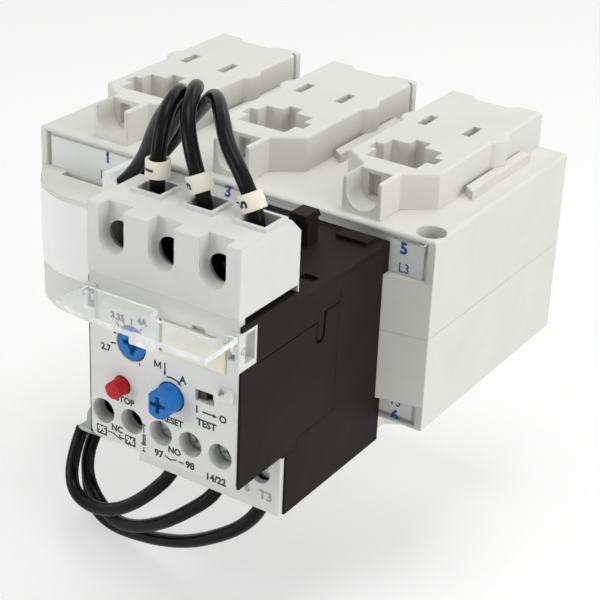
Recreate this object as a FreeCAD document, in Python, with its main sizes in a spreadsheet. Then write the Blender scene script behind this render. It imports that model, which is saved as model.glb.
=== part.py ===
import FreeCAD, Part
import math
import os
import re
import Sketcher
from FreeCAD import Placement, Rotation, Vector

# A thermal overload relay on a three-pole current-transformer housing, in millimetres.
# Origin: middle of the housing's rear mounting face. +X right seen from the front, +Y to the rear, +Z up.
# Relay pieces are drawn about the bottom middle of the relay's front face and placed by relay_x/reach/drop.

SIZES = {
    # housing block and its front
    "housing_width": 130, "housing_height": 55.4, "housing_depth": 76.9, "wall": 2.4,
    "ledge_upper": 15.9, "ledge_lower": 20.3, "seat_step": 2.6, "nose_step": 14.8, "nose_inset": 17.9,
    "nose_right": 5.4, "nose_bend_x": 9.4, "nose_bend_y": 4.7, "nose_round": 18, "seat_inset": 13.1,
    "shoulder_gap": 0.05, "strip_depth": 1.3, "strip_thick": 0.8, "strip_margin": 2.2,
    "slot_inset": 9.8, "slot_length": 14.7, "slot_front": 2.9, "slot_back": 0.3, "slot_deep": 5,
    "label_height": 24.4, "label_thick": 0.3, "corner_hole": 3.9, "corner_inset": 4.2,
    "corner_back": 5.1, "fix_inset": 3.5, "fix_pitch_z": 40, "fix_radius": 1.8, "fix_deep": 10,
    # poles
    "pole_pitch": 41.2, "pole_rise": 10.2, "collar_half": 5.75, "collar_reach": 74.4,
    "collar_back": 64.6, "pole_half": 13.9, "pole_shoulder": 58.5, "bump_y": 25.6, "bump_radius": 5.2,
    "bump_half": 16.2, "tail_half": 14.6, "tail_dip": 2.5, "pole_round": 0.8, "groove": 1.2,
    "window_half": 4.75, "window_back": 67.1, "window_floor": 29.1, "keyhole_half": 1.85,
    "keyhole_shift": 0.55, "step_deep": 8, "step_front": 59.4, "step_back": 45.3, "step_left": 8.2,
    "step_right": 7.2, "ear_front": 54, "ear_back": 49.8, "ear_left": 10.8, "ear_right": 9.7,
    "tongue_left": 2.9, "tongue_right": 1.6, "tongue_back": 41.6, "vent_half": 1.3, "vent_left": 7.9,
    "vent_right": 6.0, "vent_front": 30.4, "vent_back": 22.6, "rib_left": 14.9, "rib_right": 18.1,
    "rib_front": 47.5, "rib_back": 13, "rib_rise": 2.5,
    # conductors and transformers inside the housing
    "bar_half": 5, "bar_front": 40, "bar_thick": 3, "bar_reach": 26, "clamp_half": 6.5,
    "clamp_front": 66, "clamp_floor": 11, "clamp_top": 27.5, "screw_radius": 3.6, "screw_head": 4,
    "hex_radius": 2, "screw_y": 52.5, "core_half": 16, "core_front": 52, "core_back": 10,
    "core_limb": 7, "core_half_height": 9, "winding_wall": 3,
    # relay seat and black housing
    "relay_x": 29.4, "base_depth": 63.5, "relay_drop": 16.5, "relay_half": 22.5, "skin": 1.6,
    "body_top": 41, "neck_top": 43.4, "neck_back": 23.6, "seam_y": 42.2, "step_y": 19.2,
    "joint_gap": 0.15, "base_bottom": 18, "flange_floor": 32.6, "foot_top": 5,
    # fascia
    "face_half": 21.8, "face_thick": 2.4, "face_top": 45.1, "face_round": 2, "lug_back": 6.4,
    "lug_floor": 32.1, "lug_top": 42, "lug_wall": 0.9, "lug_inner": 19.4, "lug_front": 1, "hinge_y": 1,
    "hinge_z": 37.2, "pin_radius": 0.95, "pin_fit": 0.05, "pocket_deep": 3, "pocket_drop": 2,
    "aux_pitch": 8.8, "aux_z": 7.7, "aux_radius": 3.35, "aux_first": 17.9, "aux_deep": 9,
    "aux_screw_y": 5.6, "aux_screw_radius": 2.9, "cross_reach": 1.95, "cross_half": 0.45,
    "plate_left": 0.3, "plate_right": 18.5, "plate_floor": 30.3, "plate_top": 38.9, "plate_deep": 1,
    # dial, buttons and slider
    "dial_x": 9.2, "dial_z": 28.9, "dial_radius": 4.1, "dial_gap": 0.35, "dial_deep": 4, "stop_x": 12,
    "stop_z": 17, "stop_radius": 2.45, "stop_reach": 4.2, "button_fit": 0.08, "button_deep": 8,
    "button_travel": 2, "reset_x": 2.7, "reset_z": 18.9, "reset_radius": 3.6, "reset_gap": 0.35,
    "reset_reach": 5.3, "reset_flat": 2.6, "reset_slot": 1.8, "plunger_radius": 1.6, "plunger_end": 13,
    "knob_back": 4, "test_left": 9.8, "test_right": 15.3, "test_floor": 20.6, "test_top": 23.7,
    "test_width": 2.4, "test_clear": 0.12, "spring_wire": 0.5, "spring_radius": 2.4,
    # terminal cap
    "cap_half": 22, "cap_back": 24, "cap_top": 63.1, "cap_floor": 45.2, "cap_front": 0.5,
    "cap_wall": 1.8, "cap_chamfer": 4, "bay_pitch": 14.5, "bay_half": 3.7, "bay_floor": 51.5,
    "bay_deep": 3.7, "bay_hole": 3.2, "funnel_pitch": 14.85, "funnel_shift": 1.95, "funnel_y": 14.8,
    "funnel_half": 4.6, "funnel_rise": 0.9, "funnel_mouth": 3.55, "block_half": 3.2, "block_top": 58,
    "block_front": 9.4, "block_back": 19.4, "lead_socket": 51, "head_radius": 3, "head_thick": 2.2,
    # lower terminals
    "panel_thick": 1.8, "panel_half": 21.9, "panel_floor": 17.8, "panel_top": 0.7, "panel_hole": 3.1,
    "lower_pitch": 14.6, "lower_shift": 1.3, "lower_z": 7, "lower_lead_y": 25.4,
    "lower_lead_pitch": 13.7, "foot_socket": 12,
    # transparent cover
    "cover_half": 22.3, "cover_floor": 40.3, "cover_thick": 1.4, "cover_reach": 13.5, "cover_back": 1.2,
    "cover_jog": 5.2, "cover_cut": 8.5, "cover_slant": 2, "arm_front": 1.6, "arm_back": 0.6,
    "arm_rise": 3.6, "tab_left": 0.9, "tab_right": 7.5, "tab_drop": 1.8,
    # trip mechanism
    "strip_y": 33, "bimetal_pitch": 11.6, "bimetal_thick": 1, "bimetal_half": 2.6, "bimetal_floor": 4,
    "bimetal_top": 35, "heater_floor": 12, "heater_top": 24, "heater_wall": 0.8, "bar_z": 33,
    "trip_half": 15.8, "trip_y": 36, "trip_thick": 2, "lever_x": 17, "lever_z": 22, "lever_thick": 1.4,
    "lever_length": 12,
    # hook on top
    "hook_x": 5.5, "hook_back": 11.5, "hook_half": 2.4, "hook_head": 3.6, "hook_top": 50,
    "hook_neck": 48, "bump_deep": 4.3,
    # leads
    "lead_diameter": 3.8, "marker_radius": 3.1, "marker_length": 5.2, "marker_fit": 0.3,
    "marker_lift": 0.9, "bushing_left": 62.5, "bushing_right": 53.5, "bushing_deep": 12.9,
    "bushing_top": 42.5, "bushing_round": 2.4, "bushing_mouth": -16.3, "sleeve_left": 64.2,
    "sleeve_right": 56, "sleeve_lip": 60.4, "sleeve_back": 25.9, "sleeve_taper": 9.8,
    "sleeve_mouth": 11, "sleeve_top": 31.4, "sleeve_floor": 40.8,
}

doc = FreeCAD.newDocument("OverloadRelay")
sheet = doc.addObject("Spreadsheet::Sheet", "Sizes")
for row, (alias, millimetres) in enumerate(SIZES.items(), 1):
    sheet.set(f"A{row}", alias)
    sheet.set(f"B{row}", str(millimetres))
    sheet.setAlias(f"B{row}", alias)
doc.recompute()

SIDES = (-1, 0, 1)
FRONT, SIDE, PLAN = "front", "side", "plan"
VIEWS = {FRONT: (Rotation(Vector(1, 0, 0), 90), "y"), SIDE: (Rotation(Vector(1, 1, 1), 120), "x"),
         PLAN: (Rotation(), "z")}
nodes = {}


def size(alias):
    """One sheet value, in millimetres."""
    return float(sheet.get(alias))


def bind(thing, prop, text):
    """Ties a property to an expression written with the sheet's names."""
    named = re.sub(r"[a-z_]{3,}", lambda word: "Sizes." + word.group(), str(text))
    thing.setExpression(prop, named)


def place(thing, corner):
    for axis, text in zip("xyz", corner):
        bind(thing, f"Placement.Base.{axis}", text)


def box(name, across, back, up):
    """A block between two expressions along each of X, Y and Z."""
    block = doc.addObject("Part::Box", name)
    for side, (low, high) in zip(("Length", "Width", "Height"), (across, back, up)):
        bind(block, side, f"({high}) - ({low})")
    place(block, (across[0], back[0], up[0]))
    return block


def rod(name, axis, centre, radius, length):
    """A cylinder that runs from centre along +X, +Y or +Z."""
    turns = {"x": Rotation(Vector(0, 1, 0), 90), "y": Rotation(Vector(1, 0, 0), -90), "z": Rotation()}
    round_bar = doc.addObject("Part::Cylinder", name)
    round_bar.Placement = Placement(Vector(), turns[axis])
    bind(round_bar, "Radius", radius)
    bind(round_bar, "Height", length)
    place(round_bar, centre)
    return round_bar


def draw(sketch, corners):
    """Closes a polygon whose corners' distances from the axes are expressions."""
    first = sketch.GeometryCount
    count = len(corners)
    ring = [Vector(math.cos(math.tau * i / count), math.sin(math.tau * i / count), 0) for i in range(count)]
    for i in range(count):
        sketch.addGeometry(Part.LineSegment(ring[i], ring[(i + 1) % count]))
    for i in range(count):
        sketch.addConstraint(Sketcher.Constraint("Coincident", first + i, 2, first + (i + 1) % count, 1))
    for i, corner in enumerate(corners):
        for kind, start, text in zip(("DistanceX", "DistanceY"), (ring[i].x, ring[i].y), corner):
            index = sketch.addConstraint(Sketcher.Constraint(kind, -1, 1, first + i, 1, start))
            bind(sketch, f"Constraints[{index}]", text)


def ring_hole(sketch, centre, radius):
    """A circle in a sketch, placed and sized by expressions."""
    index = sketch.addGeometry(Part.Circle(Vector(1, 1, 0), Vector(0, 0, 1), 1))
    for kind, text in zip(("DistanceX", "DistanceY"), centre):
        place_at = sketch.addConstraint(Sketcher.Constraint(kind, -1, 1, index, 3, 1))
        bind(sketch, f"Constraints[{place_at}]", text)
    width = sketch.addConstraint(Sketcher.Constraint("Radius", index, 1))
    bind(sketch, f"Constraints[{width}]", radius)


def prism(name, view, corners, low, high):
    """A sketched polygon, seen from the front, the side or above, drawn out from low to high."""
    sketch = doc.addObject("Sketcher::SketchObject", name + "Outline")
    draw(sketch, corners)
    turn, along = VIEWS[view]
    sketch.Placement = Placement(Vector(), turn)
    bind(sketch, f"Placement.Base.{along}", low)
    block = doc.addObject("Part::Extrusion", name)
    block.Base = sketch
    block.DirMode = "Normal"
    block.Solid = True
    block.Reversed = view == FRONT
    bind(block, "LengthFwd", f"({high}) - ({low})")
    return block


def fuse(name, pieces):
    joined = doc.addObject("Part::MultiFuse", name)
    joined.Shapes = list(pieces)
    joined.Refine = True
    return joined


def cut(name, base, tools):
    """The base without its tools."""
    rest = doc.addObject("Part::Cut", name)
    rest.Base = base
    rest.Tool = tools[0] if len(tools) == 1 else fuse(name + "Tools", tools)
    rest.Refine = True
    return rest


def soften(name, base, radius, wanted):
    """Rounds the edges of base that the wanted test picks."""
    doc.recompute()
    rounded = doc.addObject("Part::Fillet", name)
    rounded.Base = base
    edges = [i for i, edge in enumerate(base.Shape.Edges, 1) if wanted(edge)]
    rounded.Edges = [(i, size(radius), size(radius)) for i in edges]
    return rounded


def body(name):
    return doc.addObject("PartDesign::Body", name)


def sketch_on(owner, role, offset="0"):
    """A sketch on one of the body's own origin planes."""
    sketch = owner.newObject("Sketcher::SketchObject", owner.Name + "Sketch")
    plane = next(item for item in owner.Origin.OriginFeatures if item.Role == role)
    sketch.AttachmentSupport = [(plane, "")]
    sketch.MapMode = "FlatFace"
    bind(sketch, "AttachmentOffset.Base.z", offset)
    return sketch


def feature(owner, kind, sketch, length, flip=False):
    """A Pad or a Pocket of the body from one of its sketches."""
    step = owner.newObject(f"PartDesign::{kind}", owner.Name + kind)
    step.Profile = sketch
    step.Reversed = flip
    bind(step, "Length", length)
    return step


def turned(name, corners, cross=None):
    """A body of revolution about its own Z from (radius, height) corners, open towards +Z."""
    owner = body(name)
    sketch = sketch_on(owner, "XZ_Plane")
    draw(sketch, corners)
    spin = owner.newObject("PartDesign::Revolution", name + "Spin")
    spin.Profile = sketch
    spin.ReferenceAxis = (sketch, ["V_Axis"])
    spin.Angle = 360
    if cross:
        half, reach, top, deep = cross
        for role in ("long", "wide"):
            slot = sketch_on(owner, "XY_Plane", top)
            across, up = (half, reach) if role == "long" else (reach, half)
            draw(slot, [(f"-{across}", f"-{up}"), (across, f"-{up}"), (across, up), (f"-{across}", up)])
            feature(owner, "Pocket", slot, deep)
    return owner


def node(label, shape, seat=None):
    """Names a finished sub-part; relay pieces are moved to the relay's seat."""
    shape.Label = label
    if seat:
        place(shape, seat)
    nodes[label] = shape
    return shape


NOSE = "(housing_depth + nose_step)"
REACH = "(housing_depth + seat_step + base_depth)"
AT_FRONT = ("relay_x", f"-{REACH}", "-relay_drop")
FLANGE = "(base_depth + seat_step - shoulder_gap)"
HOOK = "(base_depth - hook_back)"


def shifted(corners, step):
    return [(f"({across}) + ({step})", up) for across, up in corners]


def slab(name, role, corners, low, high):
    """One padded polygon as a body, from low to high along its plane's axis."""
    owner = body(name)
    flip = role == "XZ_Plane"
    sketch = sketch_on(owner, role, f"-({low})" if flip else low)
    draw(sketch, corners)
    feature(owner, "Pad", sketch, f"({high}) - ({low})", flip)
    return owner


def oblong(left, right, floor, top):
    """The four corners of a rectangle."""
    return [(left, floor), (right, floor), (right, top), (left, top)]


def level(edge, height):
    return all(abs(vertex.Z - height) < 1e-4 for vertex in edge.Vertexes)


def upright(edge):
    ends = edge.Vertexes
    return len(ends) == 2 and math.hypot(ends[0].X - ends[1].X, ends[0].Y - ends[1].Y) < 1e-6


# ---- transformer housing ----
# One moulded half is built above the parting plane; the lower half is its mirror image with its own ledge.

def pole_block(tag, step):
    """A raised terminal pole: narrow collar in front, slanted shoulders, side bumps and a dipped tail."""
    outline = [
        ("-collar_half", "-collar_reach"), ("collar_half", "-collar_reach"),
        ("collar_half", "-collar_back"), ("pole_half", "-pole_shoulder"),
        ("pole_half", "-bump_y"), ("tail_half", "-bump_y"), ("tail_half", "0"), ("tail_half / 2", "0"),
        ("tail_half / 3", "-tail_dip"), ("-tail_half / 3", "-tail_dip"), ("-tail_half / 2", "0"),
        ("-tail_half", "0"), ("-tail_half", "-bump_y"), ("-pole_half", "-bump_y"),
        ("-pole_half", "-pole_shoulder"), ("-collar_half", "-collar_back"),
    ]
    rise = "housing_height / 2 + pole_rise"
    block = prism(f"{tag}Block", PLAN, shifted(outline, step), "0", rise)
    bumps = [rod(f"{tag}Bump{side + 2}", "z", (f"{step} + {side} * (bump_half - bump_radius)", "-bump_y", "0"),
                 "bump_radius", rise) for side in (-1, 1)]
    top = size("housing_height") / 2 + size("pole_rise")
    return soften(f"{tag}Soft", fuse(f"{tag}Body", [block] + bumps), "pole_round", lambda edge: level(edge, top))


def pole_rib(tag, step):
    """A low rib beside a pole, pointed at its front."""
    outline = [
        ("rib_left", "-rib_back"), ("rib_left", "-rib_front + rib_rise"), ("rib_right", "-rib_front"),
        ("rib_right", "-rib_back"),
    ]
    return prism(f"{tag}Rib", PLAN, shifted(outline, step), "0", "housing_height / 2 + rib_rise")


def pole_openings(tag, step):
    """The wire window, the stepped screw opening, the vents and the room for clamp and transformer."""
    top = "housing_height / 2 + pole_rise"
    over = f"{top} + wall"
    deep = f"{top} - step_deep"
    rounds = "window_floor + window_half"

    def across(low, high):
        return (f"({low}) + ({step})", f"({high}) + ({step})")

    return [
        box(f"{tag}Window", across("-window_half", "window_half"), ("-collar_reach - wall", "-window_back"),
            (rounds, over)),
        rod(f"{tag}WindowRound", "y", (step, "-collar_reach - wall", rounds), "window_half",
            "collar_reach + wall - window_back"),
        box(f"{tag}Keyhole", across("-keyhole_half - keyhole_shift", "keyhole_half - keyhole_shift"),
            ("-window_back - groove", "-clamp_front + groove"), ("window_floor + groove", f"{top} - groove")),
        box(f"{tag}StepMain", across("-step_left", "step_right"), ("-step_front", "-step_back"), (deep, over)),
        box(f"{tag}StepEars", across("-ear_left", "ear_right"), ("-ear_front", "-ear_back"), (deep, over)),
        box(f"{tag}StepTongue", across("-tongue_left", "tongue_right"), ("-step_back - groove", "-tongue_back"),
            (deep, over)),
        rod(f"{tag}ScrewHole", "z", (step, "-screw_y", "clamp_top - wall"), "screw_radius + keyhole_shift",
            f"{deep}"),
        box(f"{tag}VentLeft", across("-vent_left - vent_half", "-vent_left + vent_half"),
            ("-vent_front", "-vent_back"), (f"{top} - slot_deep", over)),
        box(f"{tag}VentRight", across("vent_right - vent_half", "vent_right + vent_half"),
            ("-vent_front", "-vent_back"), (f"{top} - slot_deep", over)),
        box(f"{tag}ClampRoom", across("-clamp_half - groove", "clamp_half + groove"),
            ("-clamp_front", "-bar_front + bar_thick + groove"), ("-wall", "clamp_top + shoulder_gap")),
        box(f"{tag}CoreRoom", across("-core_half - shoulder_gap", "core_half + shoulder_gap"),
            ("-core_front - groove", "-wall"), ("-wall", "housing_height / 2 - wall")),
    ]


def housing_half(tag, ledge):
    """One half of the housing with its three poles, seat for the relay and marking recess."""
    half_width = "housing_width / 2"
    block = box(f"{tag}Shell", (f"-{half_width}", half_width), ("-housing_depth", "0"), ("0", "housing_height / 2"))
    top = size("housing_height") / 2
    shell = soften(f"{tag}ShellSoft", block, "pole_round",
                   lambda edge: level(edge, top) or upright(edge) and edge.CenterOfMass.y > -size("wall"))
    nose = prism(f"{tag}Nose", PLAN, nose_outline(), "0", ledge)
    poles = [pole_block(f"{tag}Pole{k + 2}", f"{k} * pole_pitch") for k in SIDES]
    ribs = [pole_rib(f"{tag}Pole{k + 2}", f"{k} * pole_pitch") for k in SIDES]
    tools = [tool for k in SIDES for tool in pole_openings(f"{tag}Pole{k + 2}", f"{k} * pole_pitch")]
    tools += [box(f"{tag}Groove{k + 2}", (f"{k} * pole_pitch + tail_half - groove", f"{k} * pole_pitch + bump_half"),
                  ("-3 * groove", "-2 * groove"), ("housing_height / 2", "housing_height")) for k in SIDES[:2]]
    tools.append(box(f"{tag}Recess", (f"-{half_width} + strip_margin", f"{half_width} - strip_margin"),
                     ("-housing_depth - wall", "-housing_depth + strip_depth"),
                     (ledge, "housing_height / 2 - groove")))
    if tag == "Upper":
        tools.append(box("LedgeSlot", (f"slot_inset - {half_width}", f"slot_inset + slot_length - {half_width}"),
                         ("-housing_depth - slot_front", "-housing_depth - slot_back"),
                         (f"{ledge} - slot_deep", f"{ledge} + wall")))
        tools.append(rod("CornerHole", "z", (f"{half_width} - corner_inset", "-housing_depth + corner_back",
                                             "housing_height / 2 - slot_deep"), "corner_hole", "slot_deep + wall"))
    tools += [rod(f"{tag}FixHole{side + 2}", "y",
                  (f"{side} * ({half_width} - fix_inset)", "-fix_deep", "fix_pitch_z / 2"),
                  "fix_radius", "fix_deep + wall") for side in (-1, 1)]
    softened = soften(f"{tag}NoseSoft", nose, "nose_round", nose_bend)
    return cut(f"Housing{tag}", fuse(f"{tag}Solid", [shell, softened] + poles + ribs), tools)


def nose_outline(out="0"):
    """Plan of the front block: relay seat on the right, deeper nose on the left with a bent corner."""
    return [
        ("housing_width / 2", "-housing_depth + wall"), ("-housing_width / 2", "-housing_depth + wall"),
        ("-housing_width / 2", "-housing_depth"),
        (f"nose_inset - nose_bend_x - housing_width / 2 - ({out})", f"nose_bend_y - {NOSE} - ({out})"),
        ("nose_inset - housing_width / 2", f"-{NOSE} - ({out})"), ("nose_right", f"-{NOSE} - ({out})"),
        ("nose_right", "-housing_depth - seat_step"), ("housing_width / 2 - seat_inset", "-housing_depth - seat_step"),
        ("housing_width / 2", "-housing_depth"),
    ]


def nose_bend(edge):
    """Picks the two upright edges of the bent corner."""
    corner = edge.Vertexes[0]
    front = -size("housing_depth") - size("groove")
    return upright(edge) and corner.Y < front and corner.X < size("nose_inset") + size("wall") - size("housing_width") / 2


def add_housing():
    node("housing_upper", housing_half("Upper", "ledge_upper"))
    lower = doc.addObject("Part::Mirroring", "HousingLowerMirror")
    lower.Source = housing_half("Lower", "ledge_lower")
    lower.Normal = Vector(0, 0, 1)
    node("housing_lower", lower)


def add_marking_strips():
    """Plain strips that sit in the recesses above and below the front block."""
    span = ("-housing_width / 2 + strip_margin + groove", "housing_width / 2 - strip_margin - groove")
    back = "-housing_depth + strip_depth"
    for label, floor, top in (("marking_strip_upper", "ledge_upper + shoulder_gap", "housing_height / 2 - 2 * groove"),
                              ("marking_strip_lower", "-housing_height / 2 + 2 * groove",
                               "-ledge_lower - shoulder_gap")):
        node(label, slab(label, "XZ_Plane", oblong(*span, floor, top), f"{back} - strip_thick", back))


def add_rating_label():
    """A bare label wrapped round the nose."""
    skin = prism("LabelSkin", PLAN, nose_outline("label_thick"), "ledge_upper - label_height", "ledge_upper - groove")
    bent = soften("LabelBent", skin, "nose_round", nose_bend)
    core = prism("LabelCore", PLAN, nose_outline(), "-ledge_lower", "ledge_upper")
    hollow = soften("LabelHollow", core, "nose_round", nose_bend)
    side = box("LabelEnd", ("nose_right - wall", "housing_width"), (f"-2 * {NOSE}", "0"),
               ("-housing_height", "housing_height"))
    node("rating_label", cut("RatingLabel", bent, [hollow, side]))


def add_conductors():
    """Per pole: a bar through the transformer core, a clamp and screw at each end, the core and its winding."""
    for k, place_name in zip(SIDES, ("left", "middle", "right")):
        step = f"{k} * pole_pitch"
        bar = slab(f"conductor_bar_{place_name}", "XY_Plane",
                   shifted(oblong("-bar_half", "bar_half", "-bar_front", "-bar_front + bar_thick"), step),
                   "-bar_reach", "bar_reach")
        node(f"conductor_bar_{place_name}", bar)
        ring = box(f"Core{place_name}", (f"{step} - core_half", f"{step} + core_half"),
                   ("-core_front", "-core_back"), ("-core_half_height", "core_half_height"))
        hole = box(f"CoreHole{place_name}", (f"{step} - core_half + core_limb", f"{step} + core_half - core_limb"),
                   ("-core_front + core_limb", "-core_back - core_limb"), ("-housing_height", "housing_height"))
        node(f"transformer_core_{place_name}", cut(f"CoreRing{place_name}", ring, [hole]))
        coil = box(f"Coil{place_name}", (f"{step} - core_half / 2", f"{step} + core_half / 2"),
                   ("-core_back - core_limb - winding_wall", "-core_back + winding_wall"),
                   ("-core_half_height - winding_wall", "core_half_height + winding_wall"))
        limb = box(f"Limb{place_name}", (f"{step} - core_half", f"{step} + core_half"),
                   ("-core_back - core_limb - shoulder_gap", "-core_back + shoulder_gap"),
                   ("-core_half_height - shoulder_gap", "core_half_height + shoulder_gap"))
        node(f"transformer_winding_{place_name}", cut(f"Winding{place_name}", coil, [limb]))
    for end, side in (("upper", 1), ("lower", -1)):
        clamps, screws = [], []
        for k in SIDES:
            step = f"{k} * pole_pitch"
            tag = f"{end.title()}{k + 2}"
            floor, top = ("clamp_floor", "clamp_top") if side > 0 else ("-clamp_top", "-clamp_floor")
            block = box(f"Clamp{tag}", (f"{step} - clamp_half", f"{step} + clamp_half"),
                        ("-clamp_front + groove", "-bar_front"), (floor, top))
            bore = rod(f"ClampBore{tag}", "z", (step, "-screw_y", f"{floor} - wall"),
                       "screw_radius + shoulder_gap", "clamp_top")
            clamps.append(cut(f"ClampBlock{tag}", block, [bore]))
            head_floor = "clamp_top - screw_head" if side > 0 else "-clamp_top"
            head = rod(f"Screw{tag}", "z", (step, "-screw_y", head_floor), "screw_radius", "screw_head")
            socket_floor = "clamp_top - screw_head / 2" if side > 0 else "-clamp_top - groove"
            socket = rod(f"ScrewHex{tag}", "z", (step, "-screw_y", socket_floor), "hex_radius",
                         "screw_head / 2 + groove")
            screws.append(cut(f"ScrewHead{tag}", head, [socket]))
        node(f"pole_clamps_{end}", fuse(f"PoleClamps{end.title()}", clamps))
        node(f"pole_screws_{end}", fuse(f"PoleScrews{end.title()}", screws))


def add_corner_screw():
    """The assembly screw down in the housing's corner hole."""
    rim = "corner_hole - groove / 2"
    screw = turned("CornerScrew", [("0", "0"), (rim, "0"), (rim, "wall / 2"), ("corner_hole - groove", "wall"),
                                   ("0", "wall")],
                   cross=("keyhole_shift", "corner_hole / 2", "wall", "groove"))
    node("housing_screw", screw, ("housing_width / 2 - corner_inset", "-housing_depth + corner_back",
                                  "housing_height / 2 - slot_deep"))


# ---- black relay housing ----

def aux_place(index):
    return f"{index} * aux_pitch - aux_first"


def mirrored(side, inner, outer):
    """A span between two distances from the middle plane, on the given side of it."""
    return (inner, outer) if side > 0 else (f"-({outer})", f"-({inner})")


def lug_room(side, tag, spare="0"):
    """The space that a hinge lug of the fascia takes."""
    across = mirrored(side, f"lug_inner - {spare}", "relay_half + lug_wall")
    return box(f"LugRoom{tag}", across, ("-lug_front - wall", "lug_back"), ("lug_floor", "lug_top"))


def add_relay_body():
    """The front half of the black housing, open behind to the works, with rooms for the fascia and controls."""
    outline = [
        ("keyhole_shift", "0"), ("step_y", "0"), ("step_y", "-panel_top"), ("step_y + cap_back / 4", "-panel_top"),
        ("step_y + cap_back / 4", "wall"), ("seam_y", "wall"), ("seam_y", "flange_floor"),
        ("seam_y + groove", "body_top - groove"), ("base_depth", "body_top - groove"), ("base_depth", "body_top"),
        ("neck_back", "body_top"), ("neck_back", "neck_top"), ("keyhole_shift", "neck_top"),
    ]
    block = prism("BodyBlock", SIDE, outline, "-relay_half", "relay_half")
    bump = box("BodyBump", ("hook_x + 2 * hook_half", "cap_half - wall"), ("base_depth - bump_deep", "base_depth"),
               ("body_top - groove", "body_top + groove"))
    room = [
        box("FaceRoom", ("-face_half", "face_half"), ("-wall", "face_thick"), ("-wall", "face_top + wall")),
        box("WorksRoom", ("-relay_half + skin", "relay_half - skin"), ("button_deep * 2", "seam_y + wall"),
            ("wall + skin", "body_top - wall")),
        rod("DialRoom", "y", ("-dial_x", "0", "dial_z"), "dial_radius + dial_gap", "dial_deep + dial_gap"),
        rod("DialShaftRoom", "y", ("-dial_x", "0", "dial_z"), "plunger_radius + pin_fit", "button_deep * 3"),
        rod("StopRoom", "y", ("-stop_x", "0", "stop_z"), "stop_radius + spring_wire * 2", "button_deep + skin"),
        rod("StopRodRoom", "y", ("-stop_x", "0", "stop_z"), "plunger_radius + pin_fit", "button_deep * 3"),
        rod("ResetRoom", "y", ("reset_x", "0", "reset_z"), "reset_radius + reset_gap",
            "knob_back + button_travel + spring_wire * 4"),
        rod("ResetRodRoom", "y", ("reset_x", "0", "reset_z"), "plunger_radius + pin_fit", "button_deep * 3"),
        box("TestRoom", ("test_left - test_clear", "test_right + test_clear"), ("0", "face_thick + test_width"),
            ("test_floor - test_clear", "test_top + test_clear")),
        box("HookRoomFront", ("test_right", "cap_half - wall"), ("seam_y - step_deep", "seam_y - slot_deep"),
            ("body_top - groove", "body_top + groove")),
    ]
    room += [lug_room(side, f"{side + 2}", "groove / 4") for side in (-1, 1)]
    room += [rod(f"AuxRoom{i}", "y", (aux_place(i), "0", "aux_z"), "aux_radius", "face_thick + aux_deep")
             for i in range(5)]
    shell = cut("RelayShell", fuse("BodySolid", [block, bump]), room)
    hangers = [box(f"Hanger{side + 2}", (f"{side} * bimetal_pitch / 2 - groove", f"{side} * bimetal_pitch / 2 + groove"),
                   ("trip_y", "trip_y + trip_thick + 2 * groove"), ("bar_z - trip_thick", "body_top - groove"))
               for side in (-1, 1)]
    way = box("TripWay", ("-relay_half + skin", "relay_half - skin"),
              ("trip_y + groove - pin_fit", "trip_y + groove + trip_thick + pin_fit"),
              ("bar_z - trip_thick / 2 - pin_fit", "bar_z + trip_thick / 2 + pin_fit"))
    node("relay_body", cut("RelayBody", fuse("RelayHung", [shell] + hangers), [way]), AT_FRONT)


def add_relay_base():
    """The rear half: the terminal foot below, the seat against the transformer housing and the top flange."""
    outline = [
        ("step_y + panel_thick", "-base_bottom"), (FLANGE, "-base_bottom"), (FLANGE, "-foot_top"),
        ("base_depth", "-foot_top + keyhole_shift"), ("base_depth", "flange_floor"), (FLANGE, "flange_floor"),
        (FLANGE, "body_top"), ("base_depth + joint_gap", "body_top"),
        ("base_depth + joint_gap", "body_top - groove - joint_gap"),
        ("seam_y + groove + joint_gap", "body_top - groove - joint_gap"),
        ("seam_y + joint_gap", "flange_floor"), ("seam_y + joint_gap", "wall - joint_gap"),
        ("step_y + cap_back / 4 + joint_gap", "wall - joint_gap"),
        ("step_y + cap_back / 4 + joint_gap", "-panel_top - joint_gap"),
        ("step_y + panel_thick", "-panel_top - joint_gap"),
    ]
    block = prism("BaseBlock", SIDE, outline, "-relay_half", "relay_half")
    inner = ("-relay_half + skin", "relay_half - skin")
    room = [
        box("BaseWorks", inner, ("seam_y", "base_depth - skin"), ("-foot_top", "body_top - wall - skin")),
        box("BaseFoot", inner, ("step_y + panel_thick + skin", "base_depth - skin"),
            ("-base_bottom + skin", "-panel_top - skin - joint_gap")),
    ]
    for k in SIDES:
        place_x = f"{k} * lower_pitch + lower_shift"
        lead_x = f"{k} * lower_lead_pitch"
        room.append(rod(f"FootScrewHole{k + 2}", "y", (place_x, "step_y", "-lower_z"), "panel_hole",
                        "panel_thick + 2 * skin"))
        room.append(rod(f"FootLeadHole{k + 2}", "z", (lead_x, "lower_lead_y", "-base_bottom - skin"),
                        "lead_diameter / 2 + dial_gap", "3 * skin"))
    node("relay_base", cut("RelayBase", block, room), AT_FRONT)


def add_latch_hook():
    """The release hook that stands on the relay's top."""
    outline = [
        (f"{HOOK} - hook_half", "body_top"), (f"{HOOK} + hook_half", "body_top"), (f"{HOOK} + hook_half", "hook_neck"),
        (f"{HOOK} + hook_head", "hook_neck"), (f"{HOOK} + hook_half", "hook_top"), (f"{HOOK} - hook_head", "hook_top"),
        (f"{HOOK} - hook_head", "hook_neck"), (f"{HOOK} - hook_half", "hook_neck"),
    ]
    node("latch_hook", slab("LatchHook", "YZ_Plane", outline, "hook_x - hook_half", "hook_x + hook_half"), AT_FRONT)


# ---- grey fascia, panels and cap ----

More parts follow.
